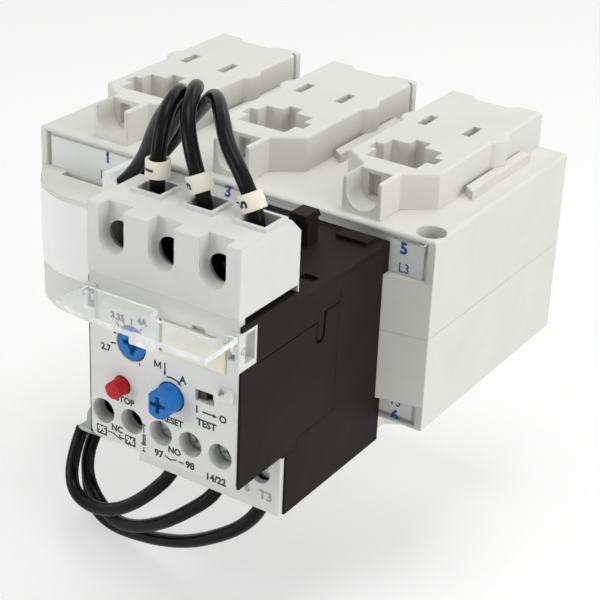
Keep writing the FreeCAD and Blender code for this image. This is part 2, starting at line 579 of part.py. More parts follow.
def add_fascia():
    """The front plate with its terminal holes, control openings, label recess, seal eye and hinge lugs."""
    face = box("FacePlate", ("-face_half + pin_fit", "face_half - pin_fit"), ("0", "face_thick"), ("0", "face_top"))
    bottom = soften("FaceSoft", face, "face_round",
                    lambda edge: abs(edge.CenterOfMass.z) < 1e-4 and abs(edge.BoundBox.XLength) < 1e-4)
    solid = [bottom]
    for side in (-1, 1):
        lug = lug_room(side, f"Solid{side + 2}")
        front = box(f"LugTrim{side + 2}", mirrored(side, "0", "relay_half + wall"), ("-slot_deep", "-lug_front"),
                    ("0", "cap_top"))
        outer = box(f"LugSide{side + 2}", mirrored(side, "relay_half", "relay_half + wall"),
                    ("-slot_deep", "lug_back + wall"), ("0", "cap_top"))
        solid.append(cut(f"Lug{side + 2}", lug, [front, outer]))
    eye = box("SealEye", ("test_right + lug_front", "face_half - lug_front"), ("-tab_drop", "groove"),
              ("test_top - pin_fit", "test_top + wall + groove / 2"))
    solid.append(eye)
    room = [rod(f"AuxHole{i}", "y", (aux_place(i), "-groove", "aux_z"), "aux_radius", "face_thick + 2 * groove")
            for i in range(5)]
    room += [
        rod("DialHole", "y", ("-dial_x", "-groove", "dial_z"), "dial_radius + dial_gap", "face_thick + 2 * groove"),
        rod("StopHole", "y", ("-stop_x", "-groove", "stop_z"), "stop_radius + button_fit",
            "face_thick + 2 * groove"),
        rod("ResetHole", "y", ("reset_x", "-groove", "reset_z"), "reset_radius + reset_gap",
            "face_thick + 2 * groove"),
        box("TestSlot", ("test_left", "test_right"), ("-groove", "face_thick + groove"), ("test_floor", "test_top")),
        box("PlateRoom", ("plate_left - groove", "plate_right + pin_fit"), ("-groove", "plate_deep"),
            ("plate_floor - pin_fit", "plate_top + pin_fit")),
        rod("EyeHole", "z", ("test_right + wall", "-pin_radius", "test_top - groove"), "spring_wire", "slot_deep"),
        box("TopSlot", ("aux_pitch", "aux_pitch + bay_deep"), ("-groove", "plate_deep"),
            ("face_top - slot_deep - groove", "face_top - slot_deep")),
    ]
    for side in (-1, 1):
        across = mirrored(side, "lug_inner + joint_gap", "relay_half - lug_wall")
        room.append(box(f"PinPocket{side + 2}", across, ("-slot_deep", "hinge_y + pocket_deep"),
                        ("hinge_z - pocket_drop", "lug_top - spring_wire")))
        low = mirrored(side, "relay_half - lug_wall - groove", "relay_half + groove")[0]
        room.append(rod(f"PinBore{side + 2}", "x", (low, "hinge_y", "hinge_z"), "pin_radius + pin_fit",
                        "lug_wall + 2 * groove"))
    node("front_fascia", cut("FrontFascia", fuse("FaceSolid", solid), room), AT_FRONT)


def add_label_plate():
    """The write-on plate set in the fascia."""
    node("label_plate", slab("LabelPlate", "XZ_Plane",
                             oblong("plate_left", "plate_right", "plate_floor", "plate_top"),
                             "-strip_depth / 4", "plate_deep"), AT_FRONT)


def add_lower_panel():
    """The set-back panel over the lower main terminals."""
    owner = slab("LowerPanel", "XZ_Plane", oblong("-panel_half", "panel_half", "-panel_floor", "-panel_top - pin_fit"),
                 "step_y", "step_y + panel_thick")
    holes = sketch_on(owner, "XZ_Plane", "-step_y")
    for k in SIDES:
        ring_hole(holes, (f"{k} * lower_pitch + lower_shift", "-lower_z"), "panel_hole")
    feature(owner, "Pocket", holes, "panel_thick + groove")
    node("lower_terminal_panel", owner, AT_FRONT)


def add_terminal_cap():
    """The cap over the main terminals: three bays in front, three raised wire funnels on top."""
    outline = [
        ("-cap_front", "cap_floor"), ("neck_back + joint_gap", "cap_floor"), ("neck_back + joint_gap", "body_top"),
        ("cap_back + joint_gap", "body_top"), ("cap_back + joint_gap", "cap_top - cap_chamfer"),
        ("cap_back - cap_chamfer", "cap_top"), ("-cap_front", "cap_top"),
    ]
    block = prism("CapBlock", SIDE, outline, "-cap_half", "cap_half")
    solid = [soften("CapSoft", block, "spring_wire",
                    lambda edge: edge.CenterOfMass.z > size("cap_floor") + 1 and edge.CenterOfMass.y < 1)]
    room = [box("CapRoom", ("-cap_half + cap_wall", "cap_half - cap_wall"),
                ("bay_deep + cap_wall", "neck_back - cap_wall"), ("cap_floor - groove", "cap_top - cap_chamfer"))]
    for k in SIDES:
        bay = f"{k} * bay_pitch"
        funnel = f"{k} * funnel_pitch + funnel_shift"
        floor = "bay_floor + bay_half"
        room.append(box(f"Bay{k + 2}", (f"{bay} - bay_half", f"{bay} + bay_half"), ("-wall", "bay_deep - cap_front"),
                        (floor, "cap_top + wall")))
        room.append(rod(f"BayRound{k + 2}", "y", (bay, "-wall", floor), "bay_half", "bay_deep - cap_front + wall"))
        room.append(rod(f"BayHole{k + 2}", "y", (bay, "0", floor), "bay_hole", "bay_deep + 2 * cap_wall"))
        solid.append(box(f"Funnel{k + 2}", (f"{funnel} - funnel_half", f"{funnel} + funnel_half"),
                         ("funnel_y - funnel_half", "funnel_y + funnel_half"),
                         ("cap_top - groove", "cap_top + funnel_rise")))
        room.append(box(f"FunnelMouth{k + 2}", (f"{funnel} - funnel_mouth", f"{funnel} + funnel_mouth"),
                        ("funnel_y - funnel_mouth", "funnel_y + funnel_mouth"),
                        ("cap_top - cap_chamfer - groove", "cap_top + wall")))
    node("terminal_cap", cut("TerminalCap", fuse("CapSolid", solid), room), AT_FRONT)


# ---- terminals ----

def add_main_terminals():
    """Upper and lower clamps with their screws; each lead ends in the socket of its clamp."""
    clamps, screws, feet, foot_screws = [], [], [], []
    for k in SIDES:
        funnel = f"{k} * funnel_pitch + funnel_shift"
        bay = f"{k} * bay_pitch"
        block = box(f"TopClamp{k + 2}", (f"{funnel} - block_half", f"{funnel} + block_half"),
                    ("block_front", "block_back"), ("neck_top", "block_top"))
        socket = rod(f"TopSocket{k + 2}", "z", (funnel, "funnel_y", "lead_socket"),
                     "lead_diameter / 2 + pin_fit", "step_deep")
        clamps.append(cut(f"TopClampBlock{k + 2}", block, [socket]))
        head = rod(f"TopScrew{k + 2}", "y", (bay, "block_front - head_thick", "bay_floor + bay_half"),
                   "head_radius", "head_thick")
        slot = box(f"TopScrewSlot{k + 2}", (f"{bay} - head_radius", f"{bay} + head_radius"),
                   ("block_front - head_thick - groove", "block_front - head_thick / 2"),
                   ("bay_floor + bay_half - keyhole_shift", "bay_floor + bay_half + keyhole_shift"))
        screws.append(cut(f"TopScrewHead{k + 2}", head, [slot]))
        lead = f"{k} * lower_lead_pitch"
        mouth = f"{k} * lower_pitch + lower_shift"
        foot = box(f"FootClamp{k + 2}", (f"{lead} - block_half", f"{lead} + block_half"),
                   ("step_y + panel_thick + skin + head_thick", "lower_lead_y + block_half"),
                   ("-base_bottom + skin", "-panel_top - 2 * skin"))
        foot_socket = rod(f"FootSocket{k + 2}", "z", (lead, "lower_lead_y", "-base_bottom"),
                          "lead_diameter / 2 + pin_fit", "base_bottom - foot_socket")
        feet.append(cut(f"FootClampBlock{k + 2}", foot, [foot_socket]))
        foot_head = rod(f"FootScrew{k + 2}", "y", (mouth, "step_y + panel_thick + skin / 2", "-lower_z"),
                        "panel_hole - keyhole_shift / 2", "head_thick + skin / 2")
        foot_slot = box(f"FootScrewSlot{k + 2}", (f"{mouth} - panel_hole", f"{mouth} + panel_hole"),
                        ("step_y", "step_y + panel_thick + skin"), ("-lower_z - groove / 3", "-lower_z + groove / 3"))
        foot_screws.append(cut(f"FootScrewHead{k + 2}", foot_head, [foot_slot]))
    node("upper_terminal_clamps", fuse("UpperTerminalClamps", clamps), AT_FRONT)
    node("upper_terminal_screws", fuse("UpperTerminalScrews", screws), AT_FRONT)
    node("lower_terminal_clamps", fuse("LowerTerminalClamps", feet), AT_FRONT)
    node("lower_terminal_screws", fuse("LowerTerminalScrews", foot_screws), AT_FRONT)


def add_aux_terminals():
    """Five cross-slotted screws down in the auxiliary terminal holes."""
    screws = []
    for i in range(5):
        head = rod(f"AuxHead{i}", "y", (aux_place(i), "aux_screw_y", "aux_z"), "aux_screw_radius",
                   "face_thick + aux_deep - aux_screw_y")
        slots = []
        for name, wide, tall in (("A", "cross_reach", "cross_half"), ("B", "cross_half", "cross_reach")):
            slots.append(box(f"AuxSlot{name}{i}", (f"{aux_place(i)} - {wide}", f"{aux_place(i)} + {wide}"),
                             ("aux_screw_y - groove", "aux_screw_y + groove"), (f"aux_z - {tall}", f"aux_z + {tall}")))
        screws.append(cut(f"AuxScrew{i}", head, slots))
    node("aux_terminal_screws", fuse("AuxScrews", screws), AT_FRONT)


# ---- controls ----

def facing_front(owner, x_text, y_text, z_text):
    """Turns a body of revolution so that its open end faces the front, at a place on the relay."""
    owner.Placement = Placement(Vector(), VIEWS[FRONT][0])
    return (f"relay_x + ({x_text})", f"-{REACH} + ({y_text})", f"-relay_drop + ({z_text})")


def add_dial():
    """The current-setting dial: a flush disc with a cross slot, on a shaft."""
    dial = turned("CurrentDial", [
        ("0", "-button_deep * 2"), ("plunger_radius", "-button_deep * 2"), ("plunger_radius", "-dial_deep"),
        ("dial_radius", "-dial_deep"), ("dial_radius", "0"), ("0", "0")],
        cross=("groove / 2", "dial_radius - groove", "0", "strip_depth"))
    node("current_dial", dial, facing_front(dial, "-dial_x", "keyhole_shift / 2", "dial_z"))


def add_stop_button():
    """The STOP push button, a round cap on a guide rod with a ridge across its face."""
    button = turned("StopButton", [
        ("0", "-button_deep * 2"), ("plunger_radius", "-button_deep * 2"), ("plunger_radius", "-wall"),
        ("stop_radius", "-wall"), ("stop_radius", "stop_reach - keyhole_shift"),
        ("stop_radius - keyhole_shift", "stop_reach"), ("0", "stop_reach")])
    ridge = sketch_on(button, "XY_Plane", "stop_reach")
    draw(ridge, [("-stop_radius + groove / 2", "0"), ("stop_radius - groove / 2", "0"),
                 ("stop_radius - groove / 2", "stop_radius"), ("-stop_radius + groove / 2", "stop_radius")])
    ridge_cut = feature(button, "Pocket", ridge, "keyhole_shift / 2")
    ridge_cut.Label = "StopFaceStep"
    node("stop_button", button, facing_front(button, "-stop_x", "0", "stop_z"))


def add_reset():
    """The RESET control: a sliding plunger with a flatted knob that turns on it."""
    plunger = turned("ResetPlunger", [
        ("0", "-plunger_end"), ("plunger_radius", "-plunger_end"), ("plunger_radius", "0"), ("0", "0")])
    node("reset_plunger", plunger, facing_front(plunger, "reset_x", "-pin_fit", "reset_z"))
    blank = rod("KnobBlank", "y", ("reset_x", "-reset_reach", "reset_z"), "reset_radius", "reset_reach + knob_back")
    top = box("KnobTop", ("reset_x - slot_deep", "reset_x + slot_deep"), ("-reset_reach - groove", "-lug_front / 2"),
              ("reset_z + reset_flat", "reset_z + slot_deep"))
    left = box("KnobLeft", ("reset_x - slot_deep", "reset_x - reset_flat"), ("-reset_reach - groove", "-lug_front / 2"),
               ("reset_z - slot_deep", "reset_z + slot_deep"))
    bore = rod("KnobBore", "y", ("reset_x", "-pin_fit", "reset_z"), "plunger_radius + pin_fit", "slot_deep")
    slots = [box(f"KnobSlot{name}", (f"reset_x - {wide}", f"reset_x + {wide}"),
                 ("-reset_reach - groove", "-reset_reach + strip_depth"),
                 (f"reset_z - {tall}", f"reset_z + {tall}"))
             for name, wide, tall in (("A", "reset_slot", "spring_wire"), ("B", "spring_wire", "reset_slot"))]
    node("reset_knob", cut("ResetKnob", blank, [top, left, bore] + slots), AT_FRONT)


def add_test_slider():
    """The TEST slider inside its slot."""
    low = "test_left + test_clear"
    slider = slab("TestSlider", "XZ_Plane", oblong(low, f"{low} + test_width", "test_floor + test_clear",
                                                   "test_top - test_clear"),
                  "groove", "face_thick + test_width - test_clear")
    node("test_slider", slider, AT_FRONT)


def add_springs():
    """Button return springs at their pressed length, as rings about the guide rods."""
    for label, x_text, z_text, start in (("stop_spring", "-stop_x", "stop_z", "wall"),
                                         ("reset_spring", "reset_x", "reset_z", "knob_back")):
        coil = turned(label.title().replace("_", ""), [
            ("plunger_radius + dial_gap", "-spring_wire * 3"), ("spring_radius", "-spring_wire * 3"),
            ("spring_radius", "0"), ("plunger_radius + dial_gap", "0")])
        node(label, coil, facing_front(coil, x_text, start, z_text))


def add_cover():
    """The clear flap: plate with a jogged rear edge, finger tab, side arms and hinge pins."""
    plate_outline = [
        ("-cover_half", "-cover_back"), ("-cover_half", "-cover_reach + cover_slant"),
        ("-cover_half + cover_cut", "-cover_reach"), ("cover_half", "-cover_reach"), ("cover_half", "-cover_back"),
        ("plate_right", "-cover_back"), ("plate_right", "-cover_jog"), ("-keyhole_shift / 2", "-cover_jog"),
        ("-keyhole_shift / 2", "-cover_back"),
    ]
    solid = [prism("CoverPlate", PLAN, plate_outline, "cover_floor", "cover_floor + cover_thick"),
             box("CoverTab", ("tab_left", "tab_right"), ("-cover_reach", "-cover_reach + cover_thick"),
                 ("cover_floor - tab_drop", "cover_floor + groove"))]
    for side in (-1, 1):
        inner, outer = "lug_inner + 3 * joint_gap", "relay_half - lug_wall - 2 * joint_gap"
        across = mirrored(side, inner, outer)
        tag = f"{side + 2}"
        solid.append(box(f"ArmUp{tag}", across, ("hinge_y - arm_front", "hinge_y + arm_back"),
                         ("hinge_z", "hinge_z + arm_rise")))
        solid.append(box(f"ArmOut{tag}", across, ("-cover_back - wall", "hinge_y - arm_front"),
                         ("cover_floor - pin_radius", "cover_floor + cover_thick / 2")))
        solid.append(rod(f"ArmHub{tag}", "x", (across[0], "hinge_y", "hinge_z"), "pin_radius + keyhole_shift",
                         f"({outer}) - ({inner})"))
        low = mirrored(side, f"{outer} - joint_gap", "relay_half - joint_gap")[0]
        solid.append(rod(f"ArmPin{tag}", "x", (low, "hinge_y", "hinge_z"), "pin_radius",
                         "lug_wall + 2 * joint_gap"))
    node("transparent_cover", fuse("TransparentCover", solid), AT_FRONT)


# ---- trip mechanism ----

def add_trip_mechanism():
    """Three bimetal strips with heaters, the trip bar that they push and the contact lever that it tips."""
    for k, place_name in zip(SIDES, ("left", "middle", "right")):
        x_text = f"{k} * bimetal_pitch"
        blade = slab(f"Bimetal{k + 2}", "XY_Plane",
                     shifted(oblong("-bimetal_thick / 2", "bimetal_thick / 2", "strip_y - bimetal_half",
                                    "strip_y + bimetal_half"), x_text), "bimetal_floor", "bimetal_top")
        node(f"bimetal_strip_{place_name}", blade, AT_FRONT)
    heaters = []
    for k in SIDES:
        x_text = f"{k} * bimetal_pitch"
        outer = box(f"Heater{k + 2}", (f"{x_text} - bimetal_thick / 2 - heater_wall - shoulder_gap",
                                       f"{x_text} + bimetal_thick / 2 + heater_wall + shoulder_gap"),
                    ("strip_y - bimetal_half - heater_wall", "strip_y + bimetal_half + heater_wall"),
                    ("heater_floor", "heater_top"))
        inner = box(f"HeaterRoom{k + 2}", (f"{x_text} - bimetal_thick / 2 - shoulder_gap",
                                           f"{x_text} + bimetal_thick / 2 + shoulder_gap"),
                    ("strip_y - bimetal_half - shoulder_gap", "strip_y + bimetal_half + shoulder_gap"),
                    ("0", "cap_top"))
        heaters.append(cut(f"HeaterWrap{k + 2}", outer, [inner]))
    node("heater_wraps", fuse("HeaterWraps", heaters), AT_FRONT)
    bar = box("TripBeam", ("-trip_half", "trip_half"), ("trip_y + groove", "trip_y + groove + trip_thick"),
              ("bar_z - trip_thick / 2", "bar_z + trip_thick / 2"))
    fingers = [box(f"TripFinger{k + 2}",
                   (f"{k} * bimetal_pitch + bimetal_thick", f"{k} * bimetal_pitch + 2 * bimetal_thick"),
                   ("strip_y", "trip_y + trip_thick"), ("bar_z - trip_thick / 2", "bar_z + trip_thick / 2"))
               for k in SIDES]
    node("trip_bar", fuse("TripBar", [bar] + fingers), AT_FRONT)
    arm = box("LeverArm", ("lever_x - lever_thick / 2", "lever_x + lever_thick / 2"),
              ("trip_y + groove", "trip_y + groove + trip_thick"), ("lever_z - wall", "lever_z + lever_length"))
    hub = rod("LeverHub", "y", ("lever_x", "trip_y + groove", "lever_z"), "pin_radius * 2", "trip_thick")
    eye = rod("LeverEye", "y", ("lever_x", "trip_y", "lever_z"), "pin_radius + pin_fit", "slot_deep * 2")
    node("contact_lever", cut("ContactLever", fuse("LeverSolid", [arm, hub]), [eye]), AT_FRONT)
    reach = "-seam_y + button_deep * 2 + lug_front"
    pin = turned("LeverPin", [("0", reach), ("pin_radius", reach), ("pin_radius", "0"), ("0", "0")])
    node("lever_pin", pin, facing_front(pin, "lever_x", "button_deep * 2", "lever_z"))


# ---- leads ----
# Routes are chosen points about the relay's seat: straight runs joined by arcs as large as the runs allow.

UPPER_ROUTES = {
    "left": [(-12.9, 14.8, 51), (-12.9, 14.8, 62.5), (-12.8, 15.2, 74.6), (-14.6, 21.3, 82.2), (-17.6, 30.8, 83.0),
             (-25.0, 36.9, 76.7), (-36.0, 44.3, 65.5), (-49.8, 55.6, 46.3), (-56.2, 55.6, 39.9)],
    "middle": [(1.95, 14.8, 51), (1.95, 14.8, 62.5), (-3.2, 15.6, 73.2), (-8.5, 20.0, 81.4), (-12.4, 28.8, 84.8),
               (-18.3, 37.9, 81.3), (-28.4, 45.2, 70.9), (-39.4, 53.9, 59.3), (-49.8, 59.7, 46.3),
               (-56.2, 59.7, 39.9)],
    "right": [(16.8, 14.8, 51), (16.8, 14.8, 62.5), (11.6, 15.6, 71.8), (3.9, 19.1, 77.4), (-2.5, 25.8, 81.6),
              (-10.5, 34.7, 81.9), (-19.4, 43.8, 75.7), (-31.0, 52.8, 65.4), (-41.6, 60.9, 55.5),
              (-49.8, 63.8, 46.3), (-56.2, 63.8, 39.9)],
}
LOWER_ROUTES = {
    "left": [(-13.7, 25.4, -12), (-13.7, 25.4, -20.5), (-24.4, 25.5, -33.6), (-34.1, 26.5, -42.1),
             (-42.6, 28, -46.6), (-50.6, 30, -48.2), (-56.1, 32.2, -47.1), (-58.8, 34.6, -43.8),
             (-59.8, 37, -39.9), (-60.2, 40, -35.2), (-60.5, 42, -33)],
    "middle": [(0, 25.4, -12), (0, 25.4, -19), (-2.9, 25.5, -25.5), (-14.8, 26.5, -36.9), (-23.2, 28.4, -43.7),
               (-33.3, 31.4, -50.4), (-42.4, 34.5, -54), (-49.5, 37, -53.1), (-54.3, 38.8, -50.5),
               (-57.1, 40, -47.3), (-58.4, 41.2, -43.2), (-59, 43.4, -39.4), (-58.4, 45.6, -35)],
    "right": [(13.7, 25.4, -12), (13.7, 25.4, -18), (12, 25.5, -24), (5.6, 26.5, -32), (-3.4, 28, -39.4),
              (-14.2, 30.5, -47), (-26.3, 33.8, -53.1), (-37.4, 37.4, -57.8), (-47.7, 40.8, -61.4),
              (-55.6, 43.6, -62.1), (-60.3, 45.4, -60.4), (-62.3, 46.4, -56.5), (-63.3, 47, -52.2),
              (-63.5, 47.6, -47.4), (-63.2, 48.8, -42.6), (-62.5, 50.2, -38.2)],
}
MARKER_RUN = 1


def route_path(points):
    """Straight runs joined by tangent arcs of 0.45 of the shorter run over the tangent of half the turn."""
    edges, radii = [], []
    here = points[0]
    for before, corner, after in zip(points, points[1:], points[2:]):
        into = (corner - before).normalize()
        out = (after - corner).normalize()
        half_turn = into.getAngle(out) / 2
        trim = 0.45 * min((corner - before).Length, (after - corner).Length)
        radius = trim / math.tan(half_turn)
        start, end = corner - into * trim, corner + out * trim
        inward = (out - into).normalize()
        middle = corner + inward * (radius / math.cos(half_turn) - radius)
        edges.append(Part.LineSegment(here, start).toShape())
        edges.append(Part.Arc(start, middle, end).toShape())
        radii.append(round(radius, 1))
        here = end
    edges.append(Part.LineSegment(here, points[-1]).toShape())
    return Part.Wire(edges), radii


def add_lead(label, route):
    """One lead as a round tube swept along its route."""
    points = [Vector(*point) for point in route]
    path, radii = route_path(points)
    radius = size("lead_diameter") / 2
    ring = Part.Circle(points[0], points[1] - points[0], radius).toShape()
    tube = path.makePipeShell([Part.Wire([ring])], True, False)
    lead = doc.addObject("Part::Feature", label.title().replace("_", ""))
    lead.Shape = tube
    section = math.pi * radius ** 2
    print(f"{label}: {path.Length:.1f} long, radii {radii}, volume ratio {tube.Volume / (section * path.Length):.3f}")
    node(label, lead, AT_FRONT)


def add_marker(label, route):
    """A printed marker ring round a lead's second run."""
    start, end = Vector(*route[MARKER_RUN]), Vector(*route[MARKER_RUN + 1])
    along = (end - start).normalize()
    base = (start + end) * 0.5 + along * (size("marker_lift") - size("marker_length") / 2)
    outer = Part.makeCylinder(size("marker_radius"), size("marker_length"), base, along)
    inner = Part.makeCylinder(size("lead_diameter") / 2 + size("marker_fit"), size("marker_length"), base, along)
    ring = doc.addObject("Part::Feature", label.title().replace("_", ""))
    ring.Shape = outer.cut(inner)
    node(label, ring, AT_FRONT)


def add_leads():
    for place_name, route in UPPER_ROUTES.items():
        add_lead(f"upper_lead_{place_name}", route)
        add_marker(f"lead_marker_{place_name}", route)
    for place_name, route in LOWER_ROUTES.items():
        add_lead(f"lower_lead_{place_name}", route)


def add_bushing():
    """The rounded bushing on the upper ledge that the three upper leads run into, its mouth at 45 degrees."""
    base = "relay_drop + ledge_upper"
    outline = [
        ("-bushing_left", base), ("-bushing_right", base), ("-bushing_right", "bushing_mouth + bushing_right"),
        ("bushing_mouth - bushing_top", "bushing_top"), ("-bushing_left", "bushing_top"),
    ]
    block = prism("BushingBlock", FRONT, outline, "base_depth + seat_step - bushing_deep",
                  "base_depth + seat_step")
    rounded = soften("Bushing", block, "bushing_round",
                     lambda edge: edge.CenterOfMass.x < -size("bushing_left") + 1e-3
                     and edge.CenterOfMass.z > size("relay_drop") + size("ledge_upper") + 1)
    node("lead_bushing_upper", rounded, AT_FRONT)


def add_sleeve():
    """The sleeve under the lower ledge: an upright before the seat and an arm that reaches forward over the lead ends."""
    front = "base_depth + seat_step - sleeve_back"
    plan = [
        ("-sleeve_lip", front), ("-sleeve_left", f"{front} + sleeve_taper"), ("-sleeve_left", FLANGE),
        ("-sleeve_right", FLANGE), ("-sleeve_right", front),
    ]
    arm = prism("SleeveArm", PLAN, plan, "-sleeve_floor", "-sleeve_top")
    upright_bar = box("SleeveUpright", ("-sleeve_left", "-sleeve_right"), (f"{front} + sleeve_mouth", FLANGE),
                      ("-sleeve_floor", "relay_drop - ledge_lower - shoulder_gap"))
    mouth = [
        (f"{front} - wall", "-sleeve_top - groove"), (front, "-sleeve_top - groove"),
        (f"{front} + sleeve_mouth", "-sleeve_floor"), (f"{front} + sleeve_mouth", "-sleeve_floor - wall"),
        (f"{front} - wall", "-sleeve_floor - wall"),
    ]
    slope = prism("SleeveMouth", SIDE, mouth, "-housing_width", "housing_width")
    node("lead_sleeve_lower", cut("LeadSleeve", fuse("SleeveSolid", [arm, upright_bar]), [slope]), AT_FRONT)


def write_parts():
    """Checks every object and shape, then writes one STEP file per sub-part."""
    doc.recompute()
    bad = [item.Name for item in doc.Objects if {"Invalid", "Error"} & set(item.State)]
    bad += [label for label, item in nodes.items() if item.Shape.isNull() or not item.Shape.isValid()]
    if bad:
        raise RuntimeError("failed: " + ", ".join(bad))
    os.makedirs("parts", exist_ok=True)
    for label, item in nodes.items():
        item.Shape.exportStep(f"parts/{label}.step")
        print(f"{label}: {len(item.Shape.Solids)} solid, {item.Shape.Volume:.1f} mm3")


add_housing()
add_marking_strips()
add_rating_label()
add_conductors()
add_corner_screw()
add_relay_body()
add_relay_base()
add_latch_hook()
add_fascia()
add_label_plate()
add_lower_panel()
add_terminal_cap()
add_main_terminals()
add_aux_terminals()
add_dial()
add_stop_button()
add_reset()
add_test_slider()
add_springs()
add_cover()
add_trip_mechanism()
add_bushing()
add_sleeve()
add_leads()
write_parts()
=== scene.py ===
import bpy
import math
from mathutils import Matrix, Vector


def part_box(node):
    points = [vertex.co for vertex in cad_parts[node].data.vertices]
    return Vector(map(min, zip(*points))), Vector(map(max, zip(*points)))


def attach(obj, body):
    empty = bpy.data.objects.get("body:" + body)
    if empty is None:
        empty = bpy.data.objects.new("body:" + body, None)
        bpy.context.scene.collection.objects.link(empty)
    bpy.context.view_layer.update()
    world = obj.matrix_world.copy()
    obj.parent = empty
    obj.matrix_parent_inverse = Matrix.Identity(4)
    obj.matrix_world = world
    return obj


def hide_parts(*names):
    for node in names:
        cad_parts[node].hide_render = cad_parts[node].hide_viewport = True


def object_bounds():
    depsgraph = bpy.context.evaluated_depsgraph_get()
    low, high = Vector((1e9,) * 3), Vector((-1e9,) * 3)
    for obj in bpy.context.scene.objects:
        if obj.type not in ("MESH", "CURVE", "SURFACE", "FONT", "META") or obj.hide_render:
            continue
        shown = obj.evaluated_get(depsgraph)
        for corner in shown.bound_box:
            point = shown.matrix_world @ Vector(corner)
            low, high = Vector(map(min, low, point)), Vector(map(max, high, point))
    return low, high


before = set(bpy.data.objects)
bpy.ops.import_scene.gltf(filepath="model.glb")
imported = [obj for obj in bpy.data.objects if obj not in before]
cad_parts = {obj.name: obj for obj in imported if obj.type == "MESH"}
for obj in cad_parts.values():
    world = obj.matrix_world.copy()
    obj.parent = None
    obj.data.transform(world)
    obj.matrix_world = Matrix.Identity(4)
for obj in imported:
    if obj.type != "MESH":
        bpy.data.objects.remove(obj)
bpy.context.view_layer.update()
mm = 0.001
relaySeat = Vector((29.4, -143.0, -16.5))  # bottom middle of the relay's front face, in millimetres


def onRelay(x, y, z):  # relay millimetres to the shared frame's metres
    return (relaySeat + Vector((x, y, z))) * mm


def sceneRoot():
    return bpy.context.scene.collection


# camera
cameraValues = {"azimuth": 32.726, "elevation": 26.508, "roll": 2.273, "lens": 101.916, "sensor": 36,
                "place": (0.24242, -0.421924, 0.206239), "shiftX": 0.0242, "shiftY": -0.0206}


def addCamera():
    v = cameraValues
    data = bpy.data.cameras.new("camera")
    data.lens = v["lens"]
    data.sensor_width = v["sensor"]
    data.shift_x = v["shiftX"]
    data.shift_y = v["shiftY"]
    camera = bpy.data.objects.new("camera", data)
    sceneRoot().objects.link(camera)
    turn = (Matrix.Rotation(math.radians(v["azimuth"]), 4, "Z")
            @ Matrix.Rotation(math.radians(90 - v["elevation"]), 4, "X")
            @ Matrix.Rotation(math.radians(v["roll"]), 4, "Z"))
    camera.matrix_world = Matrix.Translation(v["place"]) @ turn
    bpy.context.scene.camera = camera


addCamera()
print("camera placed")

# shared effects


def newGroup(name, inputs, outputs):
    group = bpy.data.node_groups.new(name, "ShaderNodeTree")
    for label, kind, value in inputs:
        socket = group.interface.new_socket(label, in_out="INPUT", socket_type=kind)
        socket.default_value = value
    for label, kind in outputs:
        group.interface.new_socket(label, in_out="OUTPUT", socket_type=kind)
    return group, group.nodes.new("NodeGroupInput"), group.nodes.new("NodeGroupOutput")


def addNode(tree, kind, values=None, **settings):
    node = tree.nodes.new(kind)
    for key, value in settings.items():
        setattr(node, key, value)
    for key, value in (values or {}).items():
        node.inputs[key].default_value = value
    return node


def mapRange(tree, source, low, high, lowOut, highOut):
    node = addNode(tree, "ShaderNodeMapRange",
                   {"From Min": low, "From Max": high, "To Min": lowOut, "To Max": highOut})
    tree.links.new(source, node.inputs["Value"])
    return node.outputs["Result"]


def mixColour(tree, share, low, high):  # low and high are sockets or plain colours
    mix = addNode(tree, "ShaderNodeMix", data_type="RGBA")
    tree.links.new(share, mix.inputs["Factor"])
    for label, source in (("A", low), ("B", high)):
        if isinstance(source, bpy.types.NodeSocket):
            tree.links.new(source, mix.inputs[label])
        else:
            mix.inputs[label].default_value = source
    return mix.outputs["Result"]


def addRoughness(group, ins, outs, source):  # between the group's two roughness inputs
    rough = addNode(group, "ShaderNodeMapRange", {"From Min": 0.3, "From Max": 0.7})
    group.links.new(source, rough.inputs["Value"])
    group.links.new(ins.outputs["Rough Low"], rough.inputs["To Min"])
    group.links.new(ins.outputs["Rough High"], rough.inputs["To Max"])
    group.links.new(rough.outputs["Result"], outs.inputs["Roughness"])


def mouldGrainGroup():  # fine moulded grain, faint flow marks and dust specks
    group, ins, outs = newGroup("mouldGrain", [
        ("Colour", "NodeSocketColor", (0.8, 0.8, 0.8, 1)), ("Shade", "NodeSocketColor", (0.7, 0.7, 0.7, 1)),
        ("Grain Scale", "NodeSocketFloat", 2600), ("Flow", "NodeSocketFloat", 0.35),
        ("Rough Low", "NodeSocketFloat", 0.4), ("Rough High", "NodeSocketFloat", 0.55)],
        [("Colour", "NodeSocketColor"), ("Roughness", "NodeSocketFloat"), ("Height", "NodeSocketFloat")])
    links = group.links
    place = addNode(group, "ShaderNodeTexCoord").outputs["Object"]
    grain = addNode(group, "ShaderNodeTexNoise", {"Detail": 2, "Roughness": 0.6})
    flow = addNode(group, "ShaderNodeTexNoise",
                   {"Scale": 42, "Detail": 5, "Roughness": 0.62, "Distortion": 0.8})
    speck = addNode(group, "ShaderNodeTexVoronoi", {"Scale": 700, "Randomness": 1})
    for texture in (grain, flow, speck):
        links.new(place, texture.inputs["Vector"])
    links.new(ins.outputs["Grain Scale"], grain.inputs["Scale"])
    flowMask = addNode(group, "ShaderNodeMath", operation="MULTIPLY")
    links.new(mapRange(group, flow.outputs["Fac"], 0.35, 0.7, 0, 1), flowMask.inputs[0])
    links.new(ins.outputs["Flow"], flowMask.inputs[1])
    tint = mixColour(group, flowMask.outputs[0], ins.outputs["Colour"], ins.outputs["Shade"])
    speckMask = mapRange(group, speck.outputs["Distance"], 0.05, 0.12, 0.35, 0)
    links.new(mixColour(group, speckMask, tint, ins.outputs["Shade"]), outs.inputs["Colour"])
    addRoughness(group, ins, outs, flow.outputs["Fac"])
    links.new(grain.outputs["Fac"], outs.inputs["Height"])
    return group


